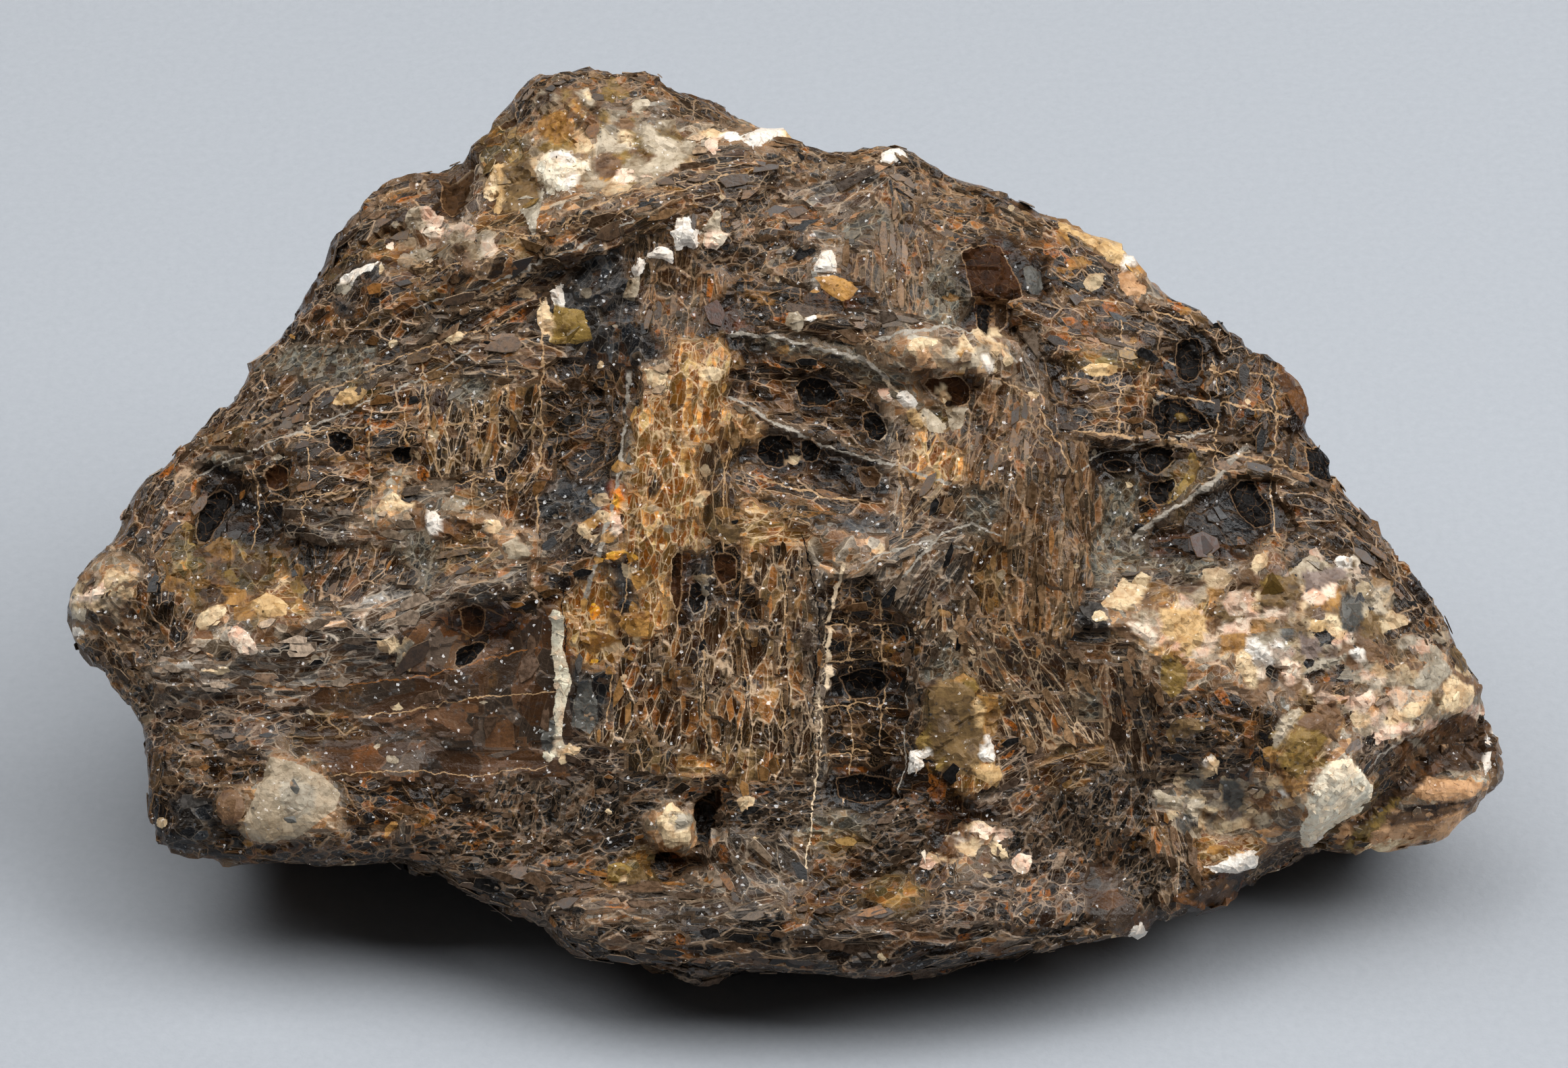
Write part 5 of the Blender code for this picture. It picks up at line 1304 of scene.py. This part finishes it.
    # Tiny flakes of mica lie at their own angles, a few of them steeply, and flash.
    flake = mosaic(tree, place, 0.16)["Color"]
    flash = ramp(tree, apart(tree, flake)[0], 0.93, 0.95)
    pale_grain = times(tree, grain, maths(tree, "SUBTRACT", 1.0, rimmed))
    dull = maths(tree, "MULTIPLY_ADD", stored(tree, "book_glass"), -0.22, 0.38)
    for part, strength in ((pale, 0.15), (less_half(tree, speck), 0.25), (flash, -0.2), (pale_grain, 0.2)):
        dull = maths(tree, "MULTIPLY_ADD", part, strength, dull)
    gloss = times(tree, ramp(tree, flash, 0.0, 1.0, 0.16, 1.0),
                  maths(tree, "MULTIPLY_ADD", dark_crystal, -0.8, 1.0))
    tilt = vectors(tree, "SCALE", astray(tree, flake), ramp(tree, flash, 0.0, 1.0, 0.12, 1.3))
    tilted = vectors(tree, "ADD", bumps(tree, speck, 0.7, 0.00009), tilt)
    lean = vectors(tree, "SCALE", astray(tree, facet), times(tree, pale_grain, 0.55))
    facing = vectors(tree, "NORMALIZE", vectors(tree, "ADD", tilted, lean))
    feed(shader, [("Base Color", colour), ("Roughness", maths(tree, "MAXIMUM", dull, 0.1)),
                  ("IOR", MICA_IOR), ("Specular IOR Level", gloss), ("Normal", facing)])
    return made


skin.data.materials.clear()
skin.data.materials.append(rock_finish())
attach(skin, "root")
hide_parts("bannisterite_block")

# ------------------------
# The mica scales: thin leaves of bannisterite that broke off along the cleavage and lie shingled
# over the books. Each is dark and glassy on top, and has a pale crushed edge all round.
# ------------------------
FACE_SCALES = 1100
HIDDEN_SCALES = 1200
SCALE_THICKNESS = (0.03, 0.09)  # mm
PALE_EDGE = (0.02, 0.05)  # width of the crushed edge, in mm
LEAST_REACH = 0.03  # mm from the middle of a scale to its edge at least
SCALE_CLEAR = 1.2  # mm above the floor where the scales start
SCALE_TILT = 0.13  # how far a scale leans out of the surface
SCALE_FACING = 0.2  # the scales of the face lie where the rock faces forwards
SCALE_DEPTH = 12.0  # and at most this far behind the mean face, in mm
BARE_GRAIN = 0.15  # mm inside a grain from which no scale covers it
FULL_SHARE = 1.6  # the share at which every point tried would get a scale
BLACK_LEAF = (0.010, 0.009, 0.0085)
AMBER_LEAF = tone(150, 98, 44)
AMBER_CHANCE = 0.04
# How many scales a kind of book carries, next to the others, and how long and how wide they are.
SCALE_HABIT = {
    "cells": (0.25, 1.5, 0.7), "tall": (0.2, 1.4, 0.6), "dark": (0.08, 1.6, 0.8),
    "black": (0.05, 1.6, 1.1), "red": (0.08, 2.0, 1.2), "amber": (0.12, 1.2, 0.7),
    "flame": (0.1, 0.8, 0.6), "olive": (0.1, 1.6, 1.0), "plate": (0.05, 2.4, 1.3),
    "ochre": (0.2, 1.5, 0.7), "silver": (0.45, 1.9, 0.7), "green": (0.3, 0.9, 0.4),
    "fibre": (0.5, 2.0, 0.5), "flaky": (0.6, 1.5, 0.75), "strap": (0.65, 2.1, 0.8),
    "coarse": (0.6, 1.0, 0.5), "crumb": (0.8, 1.0, 0.5), "mixed": (0.15, 1.1, 0.8),
    "steel": (0.05, 1.4, 0.9), "cream": (0.08, 0.9, 0.6), "quartz": (0.05, 1.0, 0.7),
    "mica": (0.45, 1.9, 0.7), "ledge": (0.7, 2.1, 0.8), "dusk": (0.6, 1.2, 0.5),
}


class Heap:
    """Points, faces and face colours that are gathered up and made into one mesh."""

    def __init__(self):
        self.points = []
        self.faces = []
        self.colours = []

    def add(self, points, faces, colours):
        start = len(self.points)
        self.points += points
        self.faces += [[start + corner for corner in face] for face in faces]
        self.colours += colours

    def build(self, name, material):
        """Makes the mesh in metres, as one piece that is part of the rock."""
        mesh = bpy.data.meshes.new(name)
        mesh.from_pydata([Vector(point) * MM for point in self.points], [], self.faces)
        store = mesh.attributes.new("face_tone", "FLOAT_COLOR", "FACE")
        flat = np.array([(*colour, 1.0) for colour in self.colours], dtype=np.float32)
        store.data.foreach_set("color", flat.ravel())
        mesh.materials.append(material)
        mesh.validate()
        made = bpy.data.objects.new(name, mesh)
        scene.collection.objects.link(made)
        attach(made, "root")
        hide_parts("bannisterite_block")


def leaf(heap, middle, along, out, length, width, thickness, top_tone, edge_tone):
    """One leaf of mica: a flat, roughly straight-sided top with a sloping pale edge round it."""
    across = out.cross(along).normalized()
    corners = random.choice((4, 5, 5, 6, 6, 7))
    first = random.uniform(0, math.tau)
    outline = []
    for corner in range(corners):
        angle = first + math.tau * (corner + random.uniform(-0.36, 0.36)) / corners
        outline.append((angle, random.uniform(0.72, 1.15)))
    edge = random.uniform(*PALE_EDGE)
    points = []
    for inset, drop in ((edge, 0.0), (0.0, thickness)):
        for angle, far in outline:
            reach_along = max(far * length / 2 - inset, LEAST_REACH) * math.cos(angle)
            reach_across = max(far * width / 2 - inset, LEAST_REACH) * math.sin(angle)
            points.append(middle + along * reach_along + across * reach_across - out * drop)
    faces = [list(range(corners))]
    for corner in range(corners):
        after = (corner + 1) % corners
        faces.append([corner, corners + corner, corners + after, after])
    heap.add(points, faces, [top_tone] + [edge_tone] * corners)


def strew_scales(heap, chosen, count):
    """Lays scales over the chosen points of the skin, each along the cleavage of its book."""
    habit = [SCALE_HABIT[kind] for kind in kinds]
    while count > 0:
        point = random.choice(chosen)
        book = owner[point]
        share, long, wide = habit[book]
        if random.random() > share / FULL_SHARE:
            continue
        count -= 1
        out = Vector(normals[point]).lerp(Vector(normals_now[point]), 0.5).normalized()
        lean = SCALE_TILT * (0.45 if long > 3 * wide else 1.0)
        out = (out + Vector(noise.random_unit_vector()) * random.uniform(0, lean)).normalized()
        along = Vector(cleavage[book])
        along = along - out * along.dot(out)
        if along.length < 0.2:
            along = out.orthogonal()
        along = (along.normalized() + out.cross(along) * random.gauss(0, lean * 0.7)).normalized()
        size = random.choice((0.6, 0.8, 1.0, 1.0, 1.3))
        length = long * size * random.uniform(0.7, 1.25)
        width = wide * size * random.uniform(0.75, 1.25)
        thickness = random.uniform(*SCALE_THICKNESS)
        middle = Vector(places[point]) + out * random.uniform(-0.02, 0.10)
        mixed = random.random()
        top = by_book["light"][book] * mixed * 0.9 + by_book["deep"][book] * (1 - mixed)
        chance = random.random()
        if chance < by_book["black"][book] * 0.8:
            top = np.array(BLACK_LEAF)
        elif chance > 1 - AMBER_CHANCE:
            top = 0.6 * top + 0.4 * AMBER_LEAF
        edge = by_book["vein"][book] * random.uniform(0.2, 0.6)
        leaf(heap, middle, along, out, length, width, thickness, tuple(top), tuple(edge))


normals_now = rows_of(skin.data.vertex_normals, "vector")
bare = (grain_rim > 0) & (grain_level > 0) | (grain_level > BARE_GRAIN)
high = (places[:, 2] > SCALE_CLEAR) & ~bare
in_front = (normals @ OUT > SCALE_FACING) & (grid_of(places)[2] > -SCALE_DEPTH)
scales = Heap()
strew_scales(scales, [int(point) for point in np.flatnonzero(high & in_front)], FACE_SCALES)
strew_scales(scales, [int(point) for point in np.flatnonzero(high & ~in_front)], HIDDEN_SCALES)


def leaf_finish():
    """Glassy mica leaf: its own tone, clouded by fine layers under the surface."""
    made, tree, shader, place = new_finish("leaf_finish")
    cloud = clouds(tree, place, 0.35, 3.0, 0.7)
    level = ramp(tree, cloud, 0.3, 0.7, 0.55, 1.45)
    colour = shaded(tree, stored(tree, "face_tone", "Color"), [level] * 3)
    feed(shader, [("Base Color", colour), ("Roughness", ramp(tree, cloud, 0.3, 0.7, 0.14, 0.42)),
                  ("IOR", MICA_IOR), ("Specular IOR Level", 0.25),
                  ("Normal", bumps(tree, cloud, 0.5, 0.00005))])
    return made


scales.build("mica_scales", leaf_finish())

# ------------------------
# The pale grains: white and cream feldspar, pink calcite, clear quartz and amber mica that grew
# between the books. Loose shards lie half sunk over each grain, and the pale crystals that show
# whole are roughened with chips of themselves.
# ------------------------
SHARD_KINDS = 20
SHARD_WIDTH = 0.75  # width and height of a shard, as parts of its length
SHARD_HEIGHT = 0.32
SHARD_COVER = 0.35  # how far the loose shards of a grain would cover it
CHIP = 0.5  # size of a crystal's chips, in mm
CHIP_COVER = 0.45  # how far the chips of a crystal would cover it
ONE_GRAIN = 4.0  # mm from a grain's middle to its farthest shard
ABOVE_FACE = 34.0  # a sight line starts this far out of the face, in mm
BEHIND_FACE = -60.0
# How shards and chips lie: how far they lean, their least and greatest width, how far they are
# sunk in, and how seldom they have the deep tone.
SHARD_HABIT = (0.2, (0.9, 2.0), 0.05, 0.7)
CHIP_HABIT = (0.35, (0.6, 1.7), 0.0, 0.6)


def on_rock(x, y):
    """Where the grid's sight line meets the rock, and which way its surface faces there."""
    near = off_grid(x, y, ABOVE_FACE)
    far = off_grid(x, y, BEHIND_FACE)
    place, normal, _, _ = skin_tree.ray_cast(near, (far - near).normalized())
    return place, normal


def shard_shape():
    """The points and faces of one sharp-cornered shard, about 1 across and lower than it is wide."""
    shard = bmesh.new()
    for _ in range(random.randint(6, 8)):
        corner = Vector(noise.random_unit_vector()) * random.uniform(0.40, 0.60)
        shard.verts.new((corner.x, corner.y * SHARD_WIDTH, corner.z * SHARD_HEIGHT))
    bmesh.ops.convex_hull(shard, input=shard.verts[:])
    corners = {vertex: index for index, vertex in enumerate(shard.verts)}
    points = [vertex.co.copy() for vertex in shard.verts]
    faces = sorted([corners[vertex] for vertex in face.verts] for face in shard.faces)
    shard.free()
    return points, faces


SHARDS = [shard_shape() for _ in range(SHARD_KINDS)]


def lay_shard(heap, kind, place, normal, size, habit):
    """Lays one shard of a crystal on the rock."""
    lean, widths, sunk, seldom_deep = habit
    out = (normal + Vector(noise.random_unit_vector()) * lean).normalized()
    turn = Matrix.Rotation(random.uniform(0, math.tau), 3, "Z")
    turned = out.to_track_quat("Z", "Y").to_matrix() @ turn
    width = size * random.uniform(*widths)
    points, faces = random.choice(SHARDS)
    share = random.random() ** seldom_deep
    base = PALE_TONES[kind][0] * share + PALE_TONES[kind][1] * (1 - share)
    placed = [place + turned @ point * width - out * sunk * width for point in points]
    heap.add(placed, faces, [tuple(base * random.uniform(0.88, 1.0)) for _ in faces])


def lay_shards(heap, kind, x, y, half_width, half_height, turn, _, size):
    """Strews shards over a grain, flat on it and half sunk in."""
    start, _ = on_rock(x, y)
    if start is None:
        return
    area = math.pi * half_width * half_height / GRID_PER_MM ** 2
    angle = lie_of(turn)
    for _ in range(max(1, round(SHARD_COVER * area / size ** 2))):
        bearing = random.uniform(0, math.tau)
        far = math.sqrt(random.random()) * 0.8
        along = far * math.cos(bearing) * half_width
        across = far * math.sin(bearing) * half_height
        place, normal = on_rock(x + along * math.cos(angle) - across * math.sin(angle),
                                y - along * math.sin(angle) - across * math.cos(angle))
        if place is None or (place - start).length > ONE_GRAIN:
            continue
        lay_shard(heap, kind, place, normal, size, SHARD_HABIT)


def lay_chips(heap, kind, outline):
    """Roughens the crystal within an outline with small chips of itself."""
    corners = [Vector(corner) for corner in zip(outline[::2], outline[1::2])]
    middle = sum(corners, Vector((0, 0))) / len(corners)
    pairs = list(zip(corners, corners[1:] + corners[:1]))
    area = abs(sum(start.cross(end) for start, end in pairs)) / 2 / GRID_PER_MM ** 2
    for _ in range(round(CHIP_COVER * area / CHIP ** 2)):
        start, end = random.choice(pairs)
        spot = middle.lerp(start.lerp(end, random.random()), math.sqrt(random.random()) * 0.9)
        place, normal = on_rock(*spot)
        if place is not None:
            lay_shard(heap, kind, place, normal, CHIP, CHIP_HABIT)


stony = Heap()
glassy = Heap()
for kind, _, *outline in CRYSTALS:
    if kind in ("white", "cream", "pink", "calcite", "shell"):
        lay_chips(stony, kind, outline)
for grain in GRAINS:
    lay_shards(glassy if grain[0] in ("clear", "amber", "olive", "flame") else stony, *grain)


def grain_finish(name, roughness, see_through, stain_tone):
    """Broken crystal: fine cracks and cloudy spots under a bright cleavage gloss."""
    made, tree, shader, place = new_finish(name)
    cloud = clouds(tree, place, 0.25, 3.0, 0.7)
    crack = mosaic(tree, place, 0.6, "DISTANCE_TO_EDGE")["Distance"]
    stain = ramp(tree, clouds(tree, place, 1.1, 3.0, 0.6), 0.56, 0.70, 0.0, 0.6)
    level = times(tree, ramp(tree, cloud, 0.3, 0.7, 0.86, 1.08), ramp(tree, crack, 0.0, 0.06, 0.72, 1.0))
    colour = shaded(tree, stored(tree, "face_tone", "Color"), [level] * 3)
    dull = ramp(tree, cloud, 0.3, 0.7, roughness * 0.6, roughness * 1.4)
    feed(shader, [("Base Color", mix(tree, stain, colour, stain_tone)), ("Roughness", dull),
                  ("IOR", 1.54), ("Specular IOR Level", 0.35), ("Transmission Weight", see_through),
                  ("Normal", bumps(tree, cloud, 0.5, 0.00008))])
    return made


stony.build("feldspar_and_calcite", grain_finish("grain_finish", 0.55, 0.0, tone(190, 150, 110)))
glassy.build("quartz_and_amber_grains", grain_finish("clear_finish", 0.16, 0.35, tone(140, 100, 60)))

# ------------------------
# The floor, the light and the camera: a pale blue-grey sheet of paper under three soft boxes, seen
# square on to the broken face.
# ------------------------
FLOOR_WIDTH = 1.6
# The paper's grain carries painted shade: its hollows are painted darker and its bumps lighter, by the same
# noise that bumps it.
PAPER_SHADED_HOLLOW = (0.36, 0.385, 0.42)
PAPER_LIT_BUMP = (0.42, 0.445, 0.48)
BUMP_WIDTH = 0.0006
bpy.ops.mesh.primitive_plane_add(size=FLOOR_WIDTH, location=(0, 0, 0))
floor = bpy.context.object
floor.name = "paper_floor"
paper = bpy.data.materials.new("paper")
paper.use_nodes = True
tree = paper.node_tree
pulp = clouds(tree, add_node(tree, "ShaderNodeTexCoord").outputs["Object"], BUMP_WIDTH, 3.0, 0.6)
# painted shade: the paper grain's hollows darker, its bumps lighter
feed(tree.nodes["Principled BSDF"], [("Base Color", mix(tree, pulp, PAPER_SHADED_HOLLOW, PAPER_LIT_BUMP)),
                                     ("Roughness", 0.9), ("Normal", bumps(tree, pulp, 0.5, 0.0001))])
floor.data.materials.append(paper)


def soft_box(name, direction, distance, size, power):
    lamp = bpy.data.lights.new(name, "AREA")
    lamp.shape = "SQUARE"
    lamp.size = size
    lamp.energy = power
    lamp_object = bpy.data.objects.new(name, lamp)
    toward = Vector(direction).normalized()
    lamp_object.location = toward * distance
    lamp_object.rotation_euler = toward.to_track_quat("Z", "Y").to_euler()
    scene.collection.objects.link(lamp_object)


soft_box("left_soft_box", (-0.50, 0.10, 0.80), distance=0.55, size=0.42, power=1.8)
soft_box("right_soft_box", (0.62, -0.02, 0.78), distance=0.55, size=0.38, power=2.7)
soft_box("top_soft_box", (0.05, 0.08, 1.0), distance=0.60, size=0.36, power=1.3)

world = bpy.data.worlds.new("room")
world.use_nodes = True
feed(world.node_tree.nodes["Background"], [("Color", (0.92, 0.95, 1.0, 1)), ("Strength", 0.025)])
scene.world = world

camera_data = bpy.data.cameras.new("camera")
camera_data.sensor_width = 36.0
camera_data.lens = 146.0
camera = bpy.data.objects.new("camera", camera_data)
camera.location = (Vector(FACE_MIDDLE) + Vector(OUT) * SIGHT_LENGTH) * MM
camera.rotation_euler = (FACE_LEAN, 0, 0)
scene.collection.objects.link(camera)
scene.camera = camera
scene.view_settings.view_transform = "Standard"
